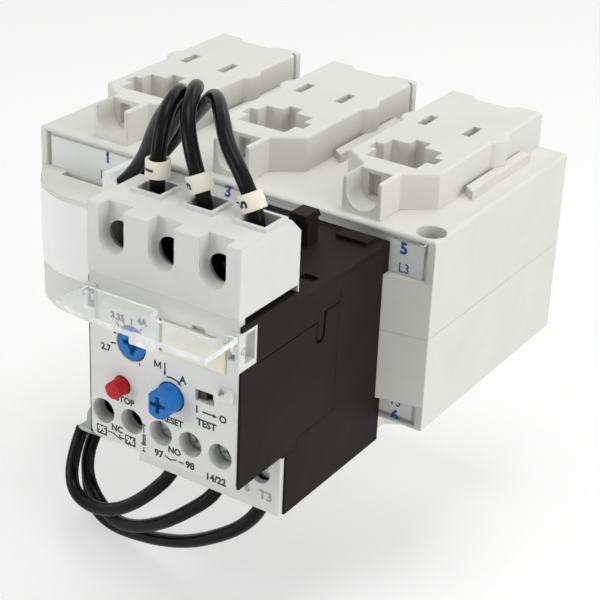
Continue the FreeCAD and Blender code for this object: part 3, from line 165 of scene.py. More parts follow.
def edgeMaskGroup():  # 1 along convex and concave edges, broken up by noise
    group, ins, outs = newGroup(
        "edgeMask", [("Radius", "NodeSocketFloat", 0.0006), ("Break", "NodeSocketFloat", 300)],
        [("Mask", "NodeSocketFloat"), ("Normal", "NodeSocketVector")])
    links = group.links
    bevel = addNode(group, "ShaderNodeBevel", samples=4)
    links.new(ins.outputs["Radius"], bevel.inputs["Radius"])
    flat = addNode(group, "ShaderNodeNewGeometry")
    dot = addNode(group, "ShaderNodeVectorMath", operation="DOT_PRODUCT")
    links.new(bevel.outputs["Normal"], dot.inputs[0])
    links.new(flat.outputs["True Normal"], dot.inputs[1])
    edge = mapRange(group, dot.outputs["Value"], 0.995, 0.9, 0, 1)
    noise = addNode(group, "ShaderNodeTexNoise", {"Detail": 4})
    links.new(addNode(group, "ShaderNodeTexCoord").outputs["Object"], noise.inputs["Vector"])
    links.new(ins.outputs["Break"], noise.inputs["Scale"])
    mask = addNode(group, "ShaderNodeMath", operation="MULTIPLY")
    links.new(edge, mask.inputs[0])
    links.new(mapRange(group, noise.outputs["Fac"], 0.38, 0.62, 0.25, 1), mask.inputs[1])
    links.new(mask.outputs[0], outs.inputs["Mask"])
    links.new(bevel.outputs["Normal"], outs.inputs["Normal"])
    return group


def toolMarksGroup():  # turned or rolled metal: stretched scratches and tarnish
    group, ins, outs = newGroup("toolMarks", [
        ("Colour", "NodeSocketColor", (0.7, 0.7, 0.7, 1)),
        ("Tarnish", "NodeSocketColor", (0.4, 0.38, 0.35, 1)), ("Scale", "NodeSocketFloat", 600),
        ("Rough Low", "NodeSocketFloat", 0.2), ("Rough High", "NodeSocketFloat", 0.45)],
        [("Colour", "NodeSocketColor"), ("Roughness", "NodeSocketFloat"), ("Height", "NodeSocketFloat")])
    links = group.links
    place = addNode(group, "ShaderNodeTexCoord").outputs["Object"]
    stretch = addNode(group, "ShaderNodeMapping", {"Scale": (1, 0.2, 6)})
    links.new(place, stretch.inputs["Vector"])
    marks = addNode(group, "ShaderNodeTexNoise", {"Detail": 3})
    links.new(stretch.outputs["Vector"], marks.inputs["Vector"])
    links.new(ins.outputs["Scale"], marks.inputs["Scale"])
    cloud = addNode(group, "ShaderNodeTexNoise", {"Scale": 180, "Detail": 5, "Distortion": 1})
    links.new(place, cloud.inputs["Vector"])
    tarnish = mapRange(group, cloud.outputs["Fac"], 0.45, 0.7, 0, 0.6)
    links.new(mixColour(group, tarnish, ins.outputs["Colour"], ins.outputs["Tarnish"]), outs.inputs["Colour"])
    addRoughness(group, ins, outs, marks.outputs["Fac"])
    links.new(marks.outputs["Fac"], outs.inputs["Height"])
    return group


mouldGrain = mouldGrainGroup()
edgeMask = edgeMaskGroup()
toolMarks = toolMarksGroup()


def colour(r, g, b):  # screen values 0 to 255 to scene colour
    def linear(c):
        c = c / 255
        return c / 12.92 if c <= 0.04045 else ((c + 0.055) / 1.055) ** 2.4
    return (linear(r), linear(g), linear(b), 1)


def blankMaterial(name):
    material = bpy.data.materials.new(name)
    material.use_nodes = True
    return material, material.node_tree, material.node_tree.nodes["Principled BSDF"]


bumpDepth = {"plastic": 0.00004, "metal": 0.00005}


def addBump(tree, shader, height, strength, distance, base=None):
    bump = addNode(tree, "ShaderNodeBump", {"Strength": strength, "Distance": distance})
    tree.links.new(height, bump.inputs["Height"])
    if base:
        tree.links.new(base, bump.inputs["Normal"])
    tree.links.new(bump.outputs["Normal"], shader.inputs["Normal"])


def addGrain(tree, v):
    grain = addNode(tree, "ShaderNodeGroup", node_tree=mouldGrain)
    grain.inputs["Colour"].default_value = colour(*v["colour"])
    grain.inputs["Shade"].default_value = colour(*v["shade"])
    grain.inputs["Grain Scale"].default_value = v.get("grain", 2600)
    grain.inputs["Rough Low"].default_value, grain.inputs["Rough High"].default_value = v["rough"]
    return grain


def mouldedPlastic(name, v):
    material, tree, shader = blankMaterial(name)
    shader.inputs["Specular IOR Level"].default_value = v.get("specular", 0.4)
    grain = addGrain(tree, v)
    edge = addNode(tree, "ShaderNodeGroup", node_tree=edgeMask)
    edge.inputs["Radius"].default_value = v.get("edge", 0.0004)
    # painted light along edges: the edge mask mixes in the finish's edge colour, a painted highlight on
    # convex and concave edges alike, and a darker painted shade on the label paper
    strength = addNode(tree, "ShaderNodeMath", {1: v.get("paintedEdgeLight", 0.5)}, operation="MULTIPLY")
    tree.links.new(edge.outputs["Mask"], strength.inputs[0])
    paintedEdgeLight = mixColour(tree, strength.outputs[0], grain.outputs["Colour"], colour(*v["paintedEdgeLightColour"]))
    tree.links.new(paintedEdgeLight, shader.inputs["Base Color"])
    tree.links.new(grain.outputs["Roughness"], shader.inputs["Roughness"])
    addBump(tree, shader, grain.outputs["Height"], v.get("bump", 0.25), bumpDepth["plastic"],
            edge.outputs["Normal"])
    return material


def markedMetal(name, v):
    material, tree, shader = blankMaterial(name)
    shader.inputs["Metallic"].default_value = 1
    marks = addNode(tree, "ShaderNodeGroup", node_tree=toolMarks)
    marks.inputs["Colour"].default_value = colour(*v["colour"])
    marks.inputs["Tarnish"].default_value = colour(*v["shade"])
    marks.inputs["Scale"].default_value = v.get("scale", 600)
    marks.inputs["Rough Low"].default_value, marks.inputs["Rough High"].default_value = v["rough"]
    tree.links.new(marks.outputs["Colour"], shader.inputs["Base Color"])
    tree.links.new(marks.outputs["Roughness"], shader.inputs["Roughness"])
    addBump(tree, shader, marks.outputs["Height"], v.get("bump", 0.3), bumpDepth["metal"])
    return material


def clearPlastic(name, v):
    material, tree, shader = blankMaterial(name)
    shader.inputs["Transmission Weight"].default_value = v["transmission"]
    shader.inputs["IOR"].default_value = v["ior"]
    shader.inputs["Specular IOR Level"].default_value = 0.5
    grain = addGrain(tree, v)
    tree.links.new(grain.outputs["Colour"], shader.inputs["Base Color"])
    tree.links.new(grain.outputs["Roughness"], shader.inputs["Roughness"])
    addBump(tree, shader, grain.outputs["Height"], 0.015, bumpDepth["plastic"])
    # milky white mixed in by noise: a real haze on the clear plate, and a painted highlight on the cover's
    # cut edges and tab
    hazeAndPaintedHighlightShader = addNode(tree, "ShaderNodeBsdfPrincipled",
                   {"Base Color": colour(*v["hazeAndPaintedHighlightColour"]), "Roughness": 0.3})
    blend = addNode(tree, "ShaderNodeMixShader")
    cloud = addNode(tree, "ShaderNodeTexNoise", {"Scale": 260, "Detail": 3})
    tree.links.new(addNode(tree, "ShaderNodeTexCoord").outputs["Object"], cloud.inputs["Vector"])
    tree.links.new(mapRange(tree, cloud.outputs["Fac"], 0.35, 0.65, *v["hazeAndPaintedHighlight"]), blend.inputs["Fac"])
    tree.links.new(shader.outputs[0], blend.inputs[1])
    tree.links.new(hazeAndPaintedHighlightShader.outputs[0], blend.inputs[2])
    tree.links.new(blend.outputs[0], tree.nodes["Material Output"].inputs["Surface"])
    return material


def printedInk(name, v):  # printed marks, a little patchy
    material, tree, shader = blankMaterial(name)
    noise = addNode(tree, "ShaderNodeTexNoise", {"Scale": 1500, "Detail": 3})
    tree.links.new(addNode(tree, "ShaderNodeTexCoord").outputs["Object"], noise.inputs["Vector"])
    patches = mapRange(tree, noise.outputs["Fac"], 0.4, 0.75, 0, v["patchy"])
    tint = mixColour(tree, patches, colour(*v["colour"]), colour(*v["shade"]))
    tree.links.new(tint, shader.inputs["Base Color"])
    tree.links.new(mapRange(tree, noise.outputs["Fac"], 0.3, 0.7, 0.35, 0.6), shader.inputs["Roughness"])
    return material


def leadRubber(name, v):  # soft insulation with long draw marks and a dusty bloom
    material, tree, shader = blankMaterial(name)
    shader.inputs["Specular IOR Level"].default_value = 0.1
    place = addNode(tree, "ShaderNodeTexCoord").outputs["Object"]
    bloom = addNode(tree, "ShaderNodeTexNoise", {"Scale": 130, "Detail": 6, "Roughness": 0.7})
    fine = addNode(tree, "ShaderNodeTexNoise", {"Scale": 1900, "Detail": 2})
    for texture in (bloom, fine):
        tree.links.new(place, texture.inputs["Vector"])
    dust = mapRange(tree, bloom.outputs["Fac"], 0.42, 0.7, 0, 1)
    tint = mixColour(tree, dust, colour(*v["colour"]), colour(*v["shade"]))
    tree.links.new(tint, shader.inputs["Base Color"])
    tree.links.new(mapRange(tree, bloom.outputs["Fac"], 0.3, 0.7, *v["rough"]), shader.inputs["Roughness"])
    addBump(tree, shader, fine.outputs["Fac"], 0.2, bumpDepth["plastic"])
    return material


# the third colour of each moulded finish is painted along its edges: a painted highlight, and a painted shade
# on the label paper
finishes = {
    "housing": (mouldedPlastic, {"colour": (217, 217, 212), "shade": (205, 205, 199), "paintedEdgeLightColour": (231, 230, 224),
                                 "rough": (0.5, 0.68), "paintedEdgeLight": 0.6, "edge": 0.0006, "bump": 0.3}),
    "whiteStrip": (mouldedPlastic, {"colour": (226, 228, 226), "shade": (214, 216, 214),
                                    "paintedEdgeLightColour": (238, 238, 236), "rough": (0.38, 0.5), "bump": 0.12}),
    "labelPaper": (mouldedPlastic, {"colour": (240, 240, 240), "shade": (230, 231, 231),
                                    "paintedEdgeLightColour": (214, 214, 212), "rough": (0.32, 0.46), "grain": 5200,
                                    "bump": 0.1}),
    "fascia": (mouldedPlastic, {"colour": (216, 217, 214), "shade": (206, 207, 204), "paintedEdgeLightColour": (232, 232, 230),
                                "rough": (0.46, 0.62), "grain": 3400, "paintedEdgeLight": 0.55, "bump": 0.22}),
    "blackShell": (mouldedPlastic, {"colour": (27, 24, 23), "shade": (34, 30, 29), "paintedEdgeLightColour": (56, 51, 49),
                                    "rough": (0.55, 0.7), "grain": 3800, "paintedEdgeLight": 0.4, "bump": 0.5,
                                    "specular": 0.1}),
    "cream": (mouldedPlastic, {"colour": (229, 226, 210), "shade": (219, 214, 194), "paintedEdgeLightColour": (240, 238, 228),
                               "rough": (0.36, 0.5), "bump": 0.12}),
    "blue": (mouldedPlastic, {"colour": (22, 108, 182), "shade": (16, 92, 164), "paintedEdgeLightColour": (86, 154, 210),
                              "rough": (0.3, 0.45), "paintedEdgeLight": 0.45, "bump": 0.15, "specular": 0.3}),
    "red": (mouldedPlastic, {"colour": (182, 10, 20), "shade": (156, 8, 16), "paintedEdgeLightColour": (214, 70, 66),
                             "rough": (0.28, 0.42), "paintedEdgeLight": 0.35, "bump": 0.15, "specular": 0.3}),
    # dark plastic; on the upper terminal clamps a painted shade
    "darkInsideAndShade": (mouldedPlastic, {"colour": (38, 36, 35), "shade": (50, 47, 44), "paintedEdgeLightColour": (70, 66, 62),
                                    "rough": (0.5, 0.7), "bump": 0.3}),
    "bushing": (mouldedPlastic, {"colour": (233, 234, 233), "shade": (222, 223, 222), "paintedEdgeLightColour": (243, 243, 242),
                                 "rough": (0.34, 0.48), "bump": 0.12}),
    "sleeve": (mouldedPlastic, {"colour": (190, 194, 193), "shade": (178, 182, 181), "paintedEdgeLightColour": (212, 214, 213),
                                "rough": (0.5, 0.66), "bump": 0.3}),
    "clear": (clearPlastic, {"colour": (250, 252, 252), "shade": (240, 244, 245), "grain": 900,
                             "rough": (0.03, 0.1), "transmission": 1.0, "ior": 1.3,
                             "hazeAndPaintedHighlightColour": (250, 252, 252), "hazeAndPaintedHighlight": (0.08, 0.14)}),
    # the cover's cut edges and tab: milky white as a painted highlight along the edges
    "clearEdge": (clearPlastic, {"colour": (252, 253, 253), "shade": (244, 247, 248), "grain": 900,
                                 "rough": (0.1, 0.2), "transmission": 0.9, "ior": 1.3,
                                 "hazeAndPaintedHighlightColour": (252, 253, 253), "hazeAndPaintedHighlight": (0.45, 0.75)}),
    # the fascia's plastic darkened as painted shade for the linings inside the terminal holes
    "paintedShadeCollar": (mouldedPlastic, {"colour": (182, 184, 180), "shade": (168, 170, 166), "paintedEdgeLightColour": (232, 232, 230),
                                "rough": (0.46, 0.62), "grain": 3400, "paintedEdgeLight": 0.55, "bump": 0.22}),
    "steel": (markedMetal, {"colour": (205, 207, 208), "shade": (140, 138, 134), "rough": (0.18, 0.4)}),
    "brass": (markedMetal, {"colour": (206, 170, 92), "shade": (140, 104, 50), "rough": (0.24, 0.45)}),
    "copper": (markedMetal, {"colour": (205, 122, 84), "shade": (120, 66, 46), "rough": (0.25, 0.5)}),
    "coreIron": (markedMetal, {"colour": (120, 118, 116), "shade": (78, 70, 66), "rough": (0.35, 0.6),
                               "scale": 1400, "bump": 0.6}),
    "winding": (markedMetal, {"colour": (178, 96, 52), "shade": (112, 54, 30), "rough": (0.22, 0.4),
                              "scale": 1700, "bump": 0.8}),
    "bimetal": (markedMetal, {"colour": (186, 180, 166), "shade": (132, 116, 92), "rough": (0.25, 0.5)}),
    "blackInk": (printedInk, {"colour": (34, 34, 36), "shade": (70, 71, 74), "patchy": 0.5}),
    "blueInk": (printedInk, {"colour": (28, 72, 150), "shade": (60, 104, 176), "patchy": 0.5}),
    "embossed": (printedInk, {"colour": (150, 154, 156), "shade": (176, 180, 182), "patchy": 0.5}),
    "slider": (mouldedPlastic, {"colour": (62, 60, 38), "shade": (48, 46, 28), "paintedEdgeLightColour": (84, 80, 54),
                                "rough": (0.4, 0.55), "bump": 0.2}),
    # darkened steel; on the upper terminal screws a painted shade
    "darkSteelAndShade": (markedMetal, {"colour": (70, 70, 72), "shade": (40, 38, 36), "rough": (0.3, 0.5)}),
    "lead": (leadRubber, {"colour": (8, 8, 9), "shade": (19, 18, 19), "rough": (0.18, 0.32)}),
}
materials = {name: make(name, values) for name, (make, values) in finishes.items()}
print("materials made:", len(materials))

# modelling steps


def freshSelection():
    bpy.ops.object.select_all(action="DESELECT")


def choose(piece):  # the only selected object, and the active one
    freshSelection()
    piece.select_set(True)
    bpy.context.view_layer.objects.active = piece


def applyPlace(location=True):
    bpy.ops.object.transform_apply(location=location, rotation=True, scale=True)


def inEditMode(*steps):  # each step acts on the whole mesh
    bpy.ops.object.mode_set(mode="EDIT")
    bpy.ops.mesh.select_all(action="SELECT")
    for step in steps:
        step()
    bpy.ops.object.mode_set(mode="OBJECT")


def facesOutward():
    bpy.ops.mesh.normals_make_consistent(inside=False)


def settle(piece, name, finish, body, smooth=None):  # place applied, then finish and body given
    choose(piece)
    applyPlace()
    inEditMode(facesOutward)
    if smooth:
        bpy.ops.object.shade_smooth_by_angle(angle=math.radians(smooth))
    piece.name = name
    piece.data.name = name
    piece.data.materials.clear()
    piece.data.materials.append(materials[finish])
    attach(piece, body)
    return piece


def joined(parts):
    freshSelection()
    for part in parts:
        part.select_set(True)
    bpy.context.view_layer.objects.active = parts[0]
    if len(parts) > 1:
        bpy.ops.object.join()
    return parts[0]


def applyModifier(piece, kind, **settings):
    modifier = piece.modifiers.new(kind.lower(), kind)
    for key, value in settings.items():
        setattr(modifier, key, value)
    choose(piece)
    bpy.ops.object.modifier_apply(modifier=modifier.name)


def rodAt(x, z, yFront, yBack, radius, sides=64):  # a round bar along the depth axis
    freshSelection()
    bpy.ops.mesh.primitive_cylinder_add(vertices=sides, radius=radius * mm, depth=abs(yBack - yFront) * mm,
                                        location=onRelay(x, (yFront + yBack) / 2, z),
                                        rotation=(math.radians(90), 0, 0))
    applyPlace()
    return bpy.context.active_object


def barAt(xs, ys, zs, turn=(0, 0, 0)):  # a box between relay millimetres, turned about its own middle
    freshSelection()
    bpy.ops.mesh.primitive_cube_add(size=1)
    part = bpy.context.active_object
    part.scale = [(high - low) * mm for low, high in (xs, ys, zs)]
    applyPlace(location=False)
    part.rotation_euler = [math.radians(angle) for angle in turn]
    part.location = onRelay(*[(low + high) / 2 for low, high in (xs, ys, zs)])
    applyPlace()
    return part


def crossBar(x, z, ys, reach, half, turn):  # a bar across the depth axis, turned seen from the front
    return barAt((x - reach, x + reach), ys, (z - half, z + half), (0, -turn, 0))


def cutAway(piece, cutters):
    tool = joined(cutters)
    applyModifier(piece, "BOOLEAN", operation="DIFFERENCE", object=tool, solver="EXACT", use_self=True)
    bpy.data.objects.remove(tool)
    return piece


def roundEdges(piece, width, angle=40, steps=3):
    applyModifier(piece, "BEVEL", width=width * mm, segments=steps, limit_method="ANGLE",
                  angle_limit=math.radians(angle), use_clamp_overlap=True)
    return piece


def mergeDoubles():
    bpy.ops.mesh.remove_doubles(threshold=0.000002)


def cleanCopy(nodeName):  # the CAD node's faces merged into whole faces
    choose(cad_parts[nodeName])
    bpy.ops.object.duplicate()
    copy = bpy.context.active_object
    for key in list(copy.keys()):
        del copy[key]
    world = copy.matrix_world.copy()
    copy.parent = None
    copy.matrix_world = world
    inEditMode(mergeDoubles, facesOutward)
    return copy

# leads
leadValues = {"diameter": 0.0038, "stiffness": "stiff", "lay": "loose", "ringSteps": 6, "runSteps": 16}
upperRoutes = {
    "left": [(-12.9, 14.8, 51), (-12.9, 14.8, 62.5), (-12.8, 15.2, 74.6), (-14.6, 21.3, 82.2),
             (-17.6, 30.8, 83.0), (-25.0, 36.9, 76.7), (-36.0, 44.3, 65.5), (-49.8, 55.6, 46.3),
             (-56.2, 55.6, 39.9)],
    "middle": [(1.95, 14.8, 51), (1.95, 14.8, 62.5), (-3.2, 15.6, 73.2), (-8.5, 20.0, 81.4),
               (-12.4, 28.8, 84.8), (-18.3, 37.9, 81.3), (-28.4, 45.2, 70.9), (-39.4, 53.9, 59.3),
               (-49.8, 59.7, 46.3), (-56.2, 59.7, 39.9)],
    "right": [(16.8, 14.8, 51), (16.8, 14.8, 62.5), (11.6, 15.6, 71.8), (3.9, 19.1, 77.4), (-2.5, 25.8, 81.6),
              (-10.5, 34.7, 81.9), (-19.4, 43.8, 75.7), (-31.0, 52.8, 65.4), (-41.6, 60.9, 55.5),
              (-49.8, 63.8, 46.3), (-56.2, 63.8, 39.9)],
}
lowerRoutes = {
    "left": [(-13.7, 25.4, -12), (-13.7, 25.4, -20.5), (-24.4, 25.5, -33.6), (-34.1, 26.5, -42.1),
             (-42.6, 28, -46.6), (-50.6, 30, -48.2), (-56.1, 32.2, -47.1), (-58.8, 34.6, -43.8),
             (-59.8, 37, -39.9), (-60.2, 40, -35.2), (-60.5, 42, -33)],
    "middle": [(0, 25.4, -12), (0, 25.4, -19), (-2.9, 25.5, -25.5), (-14.8, 26.5, -36.9),
               (-23.2, 28.4, -43.7), (-33.3, 31.4, -50.4), (-42.4, 34.5, -54), (-49.5, 37, -53.1),
               (-54.3, 38.8, -50.5), (-57.1, 40, -47.3), (-58.4, 41.2, -43.2), (-59, 43.4, -39.4),
               (-58.4, 45.6, -35)],
    "right": [(13.7, 25.4, -12), (13.7, 25.4, -18), (12, 25.5, -24), (5.6, 26.5, -32), (-3.4, 28, -39.4),
              (-14.2, 30.5, -47), (-26.3, 33.8, -53.1), (-37.4, 37.4, -57.8), (-47.7, 40.8, -61.4),
              (-55.6, 43.6, -62.1), (-60.3, 45.4, -60.4), (-62.3, 46.4, -56.5), (-63.3, 47, -52.2),
              (-63.5, 47.6, -47.4), (-63.2, 48.8, -42.6), (-62.5, 50.2, -38.2)],
}


# marker rings
markerValues = {"outer": 3.05, "inner": 2.15, "length": 4.3, "down": 0.7, "edge": 0.12, "edgeAngle": 50}


def markerSeat(side):  # middle of the ring and the direction of its lead
    low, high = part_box(f"lead_marker_{side}")
    start, end = Vector(upperRoutes[side][1]), Vector(upperRoutes[side][2])
    along = (end - start).normalized()
    return (low + high) / 2 - along * markerValues["down"] * mm, along


def addMarkerRing(side):  # a short tube: both ends inset, then bridged
    v = markerValues
    centre, along = markerSeat(side)
    freshSelection()
    bpy.ops.mesh.primitive_cylinder_add(vertices=64, radius=v["outer"] * mm, depth=v["length"] * mm)
    ring = bpy.context.active_object
    bpy.ops.object.mode_set(mode="EDIT")
    bpy.ops.mesh.select_mode(type="FACE")
    bpy.ops.mesh.select_all(action="DESELECT")
    bpy.ops.object.mode_set(mode="OBJECT")
    for face in ring.data.polygons:
        face.select = abs(face.normal.z) > 0.9
    bpy.ops.object.mode_set(mode="EDIT")
    bpy.ops.mesh.inset(thickness=(v["outer"] - v["inner"]) * mm, use_individual=True)
    bpy.ops.mesh.bridge_edge_loops()
    bpy.ops.object.mode_set(mode="OBJECT")
    applyModifier(ring, "BEVEL", width=v["edge"] * mm, segments=2, angle_limit=math.radians(v["edgeAngle"]))
    turn = Vector((0, 0, 1)).rotation_difference(along).to_matrix().to_4x4()
    ring.matrix_world = Matrix.Translation(centre) @ turn
    settle(ring, f"markerRing.{side}", "cream", "relay", 40)
    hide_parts(f"lead_marker_{side}")
    return ring


markerRings = {side: addMarkerRing(side) for side in upperRoutes}
print("marker rings modelled")


def splinePoints(lead):  # the smooth line itself, read with no bevel
    bevel = lead.data.bevel_depth
    lead.data.bevel_depth = 0
    lead.data.use_fill_caps = False
    bpy.context.view_layer.update()
    line = bpy.data.meshes.new_from_object(lead.evaluated_get(bpy.context.evaluated_depsgraph_get()))
    points = [vertex.co.copy() for vertex in line.vertices]
    bpy.data.meshes.remove(line)
    lead.data.bevel_depth = bevel
    lead.data.use_fill_caps = True
    return points


def addLead(name, cadNode, route):
    v = leadValues
    data = bpy.data.curves.new(name, "CURVE")
    data.dimensions = "3D"
    data.bevel_depth = v["diameter"] / 2
    data.bevel_resolution = v["ringSteps"]
    data.resolution_u = v["runSteps"]
    spline = data.splines.new("NURBS")
    spline.points.add(len(route) - 1)
    for point, place in zip(spline.points, route):
        point.co = (*onRelay(*place), 1)
    spline.order_u = 3
    spline.use_endpoint_u = True
    lead = bpy.data.objects.new(name, data)
    sceneRoot().objects.link(lead)
    points = splinePoints(lead)
    length = sum((after - before).length for before, after in zip(points, points[1:]))
    data.materials.append(materials["lead"])
    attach(lead, "relay")
    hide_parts(cadNode)
    return length


for side, route in upperRoutes.items():
    print("upper lead", side, round(addLead(f"upperLead.{side}", f"upper_lead_{side}", route), 4))
for side, route in lowerRoutes.items():
    print("lower lead", side, round(addLead(f"lowerLead.{side}", f"lower_lead_{side}", route), 4))

# finishes of the CAD nodes
nodeFinishes = {
    "housing": ("housing_upper", "housing_lower"),
    "whiteStrip": ("marking_strip_upper", "marking_strip_lower"),
    "labelPaper": ("rating_label",),
    "copper": ("conductor_bar_left", "conductor_bar_middle", "conductor_bar_right", "heater_wraps"),
    "coreIron": ("transformer_core_left", "transformer_core_middle", "transformer_core_right"),
    "winding": ("transformer_winding_left", "transformer_winding_middle", "transformer_winding_right"),
    # painted shade: the upper terminal clamps deep in the cap take this dark finish instead of brass
    "darkInsideAndShade": ("reset_plunger", "trip_bar", "upper_terminal_clamps"),
    "brass": ("pole_clamps_upper", "pole_clamps_lower", "lower_terminal_clamps", "contact_lever"),
    # painted shade: the upper terminal screws deep in the cap take this darkened steel instead of plain steel
    "darkSteelAndShade": ("upper_terminal_screws", "pole_screws_upper", "pole_screws_lower"),
    "steel": ("housing_screw", "lower_terminal_screws", "aux_terminal_screws", "stop_spring", "reset_spring",
              "lever_pin"),
    "blackShell": ("relay_body", "relay_base", "latch_hook"),
    "fascia": ("front_fascia", "terminal_cap", "lower_terminal_panel"),
    "cream": ("label_plate", "lead_marker_left", "lead_marker_middle", "lead_marker_right"),
    "slider": ("test_slider",),
    "blue": ("current_dial", "reset_knob"),
    "red": ("stop_button",),
    "clear": ("transparent_cover",),
    "bimetal": ("bimetal_strip_left", "bimetal_strip_middle", "bimetal_strip_right"),
    "bushing": ("lead_bushing_upper",),
    "sleeve": ("lead_sleeve_lower",),
}


def dressNodes():
    for finish, names in nodeFinishes.items():
        for name in names:
            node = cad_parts[name]
            node.data.materials.clear()
            node.data.materials.append(materials[finish])


dressNodes()
print("nodes dressed:", sum(len(names) for names in nodeFinishes.values()))

# printed marks
inkValues = {"rise": 0.04, "sink": 0.02, "bold": 0.054, "letterScale": 1.38, "headSize": 0.58,
             "headWide": 0.62}


def inkDepth():
    return (inkValues["rise"] + inkValues["sink"]) * mm


def flatText(words, height, bold=1.0):  # upright text facing the front, centred on the origin
    freshSelection()
    bpy.ops.object.text_add(location=(0, 0, 0), rotation=(math.radians(90), 0, 0))
    text = bpy.context.active_object
    text.data.body = words
    text.data.size = height * inkValues["letterScale"] * mm
    text.data.extrude = inkDepth() / 2
    text.data.offset = inkValues["bold"] * height * bold * mm
    text.data.align_x = "CENTER"
    text.data.align_y = "CENTER"
    text.data.resolution_u = 4
    bpy.ops.object.convert(target="MESH")
    applyPlace()
    return bpy.context.active_object


def turnFlat(part, degrees):
    part.rotation_euler = (0, math.radians(-degrees), 0)
    applyPlace(location=False)


def setAt(part, x, y, z):
    part.location = onRelay(x, y + (inkValues["sink"] - inkValues["rise"]) / 2, z)
    return part


def inkText(words, x, z, height, y=0, turn=0, bold=1.0, narrow=1.0):
    part = flatText(words, height, bold)
    part.scale = (narrow, 1, 1)
    applyPlace(location=False)
    turnFlat(part, turn)
    return setAt(part, x, y, z)


def inkBar(start, end, width, y=0):  # a straight stroke between two points of the face
    across, up = end[0] - start[0], end[1] - start[1]
    freshSelection()
    bpy.ops.mesh.primitive_cube_add(size=1)
    part = bpy.context.active_object
    part.scale = (math.hypot(across, up) * mm, inkDepth(), width * mm)
    applyPlace(location=False)
    turnFlat(part, math.degrees(math.atan2(up, across)))
    return setAt(part, (start[0] + end[0]) / 2, y, (start[1] + end[1]) / 2)


def inkLine(points, width):
    return [inkBar(start, end, width) for start, end in zip(points, points[1:])]


def inkHead(tip, direction, size):  # a three-cornered arrow head
    radius = inkValues["headSize"] * size
    freshSelection()
    bpy.ops.mesh.primitive_cylinder_add(vertices=3, radius=radius * mm, depth=inkDepth(),
                                        rotation=(math.radians(90), math.radians(90), 0))
    applyPlace()
    part = bpy.context.active_object
    part.scale = (1, 1, inkValues["headWide"])
    applyPlace(location=False)
    turnFlat(part, direction)
    angle = math.radians(direction)
    return setAt(part, tip[0] - radius * math.cos(angle), 0, tip[1] - radius * math.sin(angle))


def aroundPoint(middle, radius, degrees):
    angle = math.radians(degrees)
    return middle[0] + radius * math.cos(angle), middle[1] + radius * math.sin(angle)


def arcPoints(middle, radius, start, end, steps):
    return [aroundPoint(middle, radius, start + (end - start) * k / steps) for k in range(steps + 1)]


faceMarks = {
    "words": [  # words, x, z, letter height
        ("2,7", -16.9, 25.8, 1.75), ("3,35", -13.2, 34.5, 1.75), ("4A", -5.9, 35.4, 1.75),
        ("A", 6.2, 24.6, 1.9),
        ("STOP", -11.2, 12.9, 1.75), ("RESET", 3.2, 12.3, 1.75), ("TEST", 13.2, 14.9, 1.9),
        ("I", 10.4, 18.2, 1.9), ("O", 17.9, 18.0, 1.9), ("NC", -13.7, 4.0, 1.75), ("NO", 3.9, 4.1, 1.75),
        ("97", -0.8, 1.7, 1.9), ("98", 8.6, 1.8, 1.9), ("14/22", 16.2, 0.85, 1.9)],
    "strokes": [  # points and stroke width
        ([(-2.1, 25.4), (-2.1, 27.3), (-1.25, 25.8), (-0.4, 27.3), (-0.4, 25.4)], 0.38),  # letter M
        ([(0.9, 27.6), (0.9, 24.9)], 0.4),  # arrow to the manual mark
        ([(12.0, 18.1), (15.3, 18.1)], 0.42),  # arrow from I to O
        ([(-16.6, 2.4), (-15.0, 2.4), (-12.3, 1.3)], 0.36),  # break contact
        ([(-12.9, 2.7), (-12.9, 1.9), (-11.4, 1.9)], 0.36),
        ([(1.0, 1.9), (2.6, 1.3), (4.6, 1.9)], 0.36),  # make contact
        ([(5.2, 1.7), (6.7, 1.7)], 0.36),
        ([(-5.9, 8.2), (-4.9, 8.2)], 0.3),  # stripping-length gauge
        ([(-5.4, 8.2), (-5.4, 5.9)], 0.3),
        ([(-5.9, 0.7), (-4.9, 0.7)], 0.3),
        ([(-5.4, 0.7), (-5.4, 1.9)], 0.3)],
    # tip, direction, size
    "heads": [((0.9, 23.9), -90, 1.4), ((5.9, 22.7), -42, 1.4), ((16.5, 18.1), 0, 1.6)],
    "arc": ((2.7, 18.9), 5.2, 105, 62, 8),  # middle, radius, start, end, steps
    "dialMiddle": (-9.2, 28.9), "tickStart": 4.75, "arcWidth": 0.42,
    # angle, length
    "ticks": [(192, 1.5), (160, 0.8), (138, 1.5), (115, 0.8), (88, 1.5), (55, 0.8), (300, 0.7)],
    "gauge": ("8mm", -5.4, 3.95, 1.35), "gaugeTurn": 90, "gaugeNarrow": 0.85,
}


def addFaceMarks():
    v = faceMarks
    parts = [inkText(*row) for row in v["words"]]
    parts.append(inkText(*v["gauge"], turn=v["gaugeTurn"], narrow=v["gaugeNarrow"]))
    for points, width in v["strokes"] + [(arcPoints(*v["arc"]), v["arcWidth"])]:
        parts += inkLine(points, width)
    parts += [inkHead(*row) for row in v["heads"]]
    for angle, length in v["ticks"]:
        ends = [aroundPoint(v["dialMiddle"], v["tickStart"] + reach, angle) for reach in (0, length)]
        parts.append(inkBar(*ends, v["arcWidth"]))
    settle(joined(parts), "faceMarks", "blackInk", "relay")


boxedValues = {"numbers": (("95", -18.5), ("96", -9.6)), "z": 2.1, "half": 1.6, "tall": 2.7, "letters": 1.9,
               "lift": -0.03, "bold": 0.6}


def addBoxedMarks():  # light numbers on black boxes
    v = boxedValues
    z = v["z"]
    boxes, numbers = [], []
    for words, x in v["numbers"]:
        boxes.append(inkBar((x - v["half"], z), (x + v["half"], z), v["tall"]))
        numbers.append(inkText(words, x, z, v["letters"], y=v["lift"], bold=v["bold"]))
    settle(joined(boxes), "numberBoxes", "blackInk", "relay")
    settle(joined(numbers), "boxedNumbers", "labelPaper", "relay")


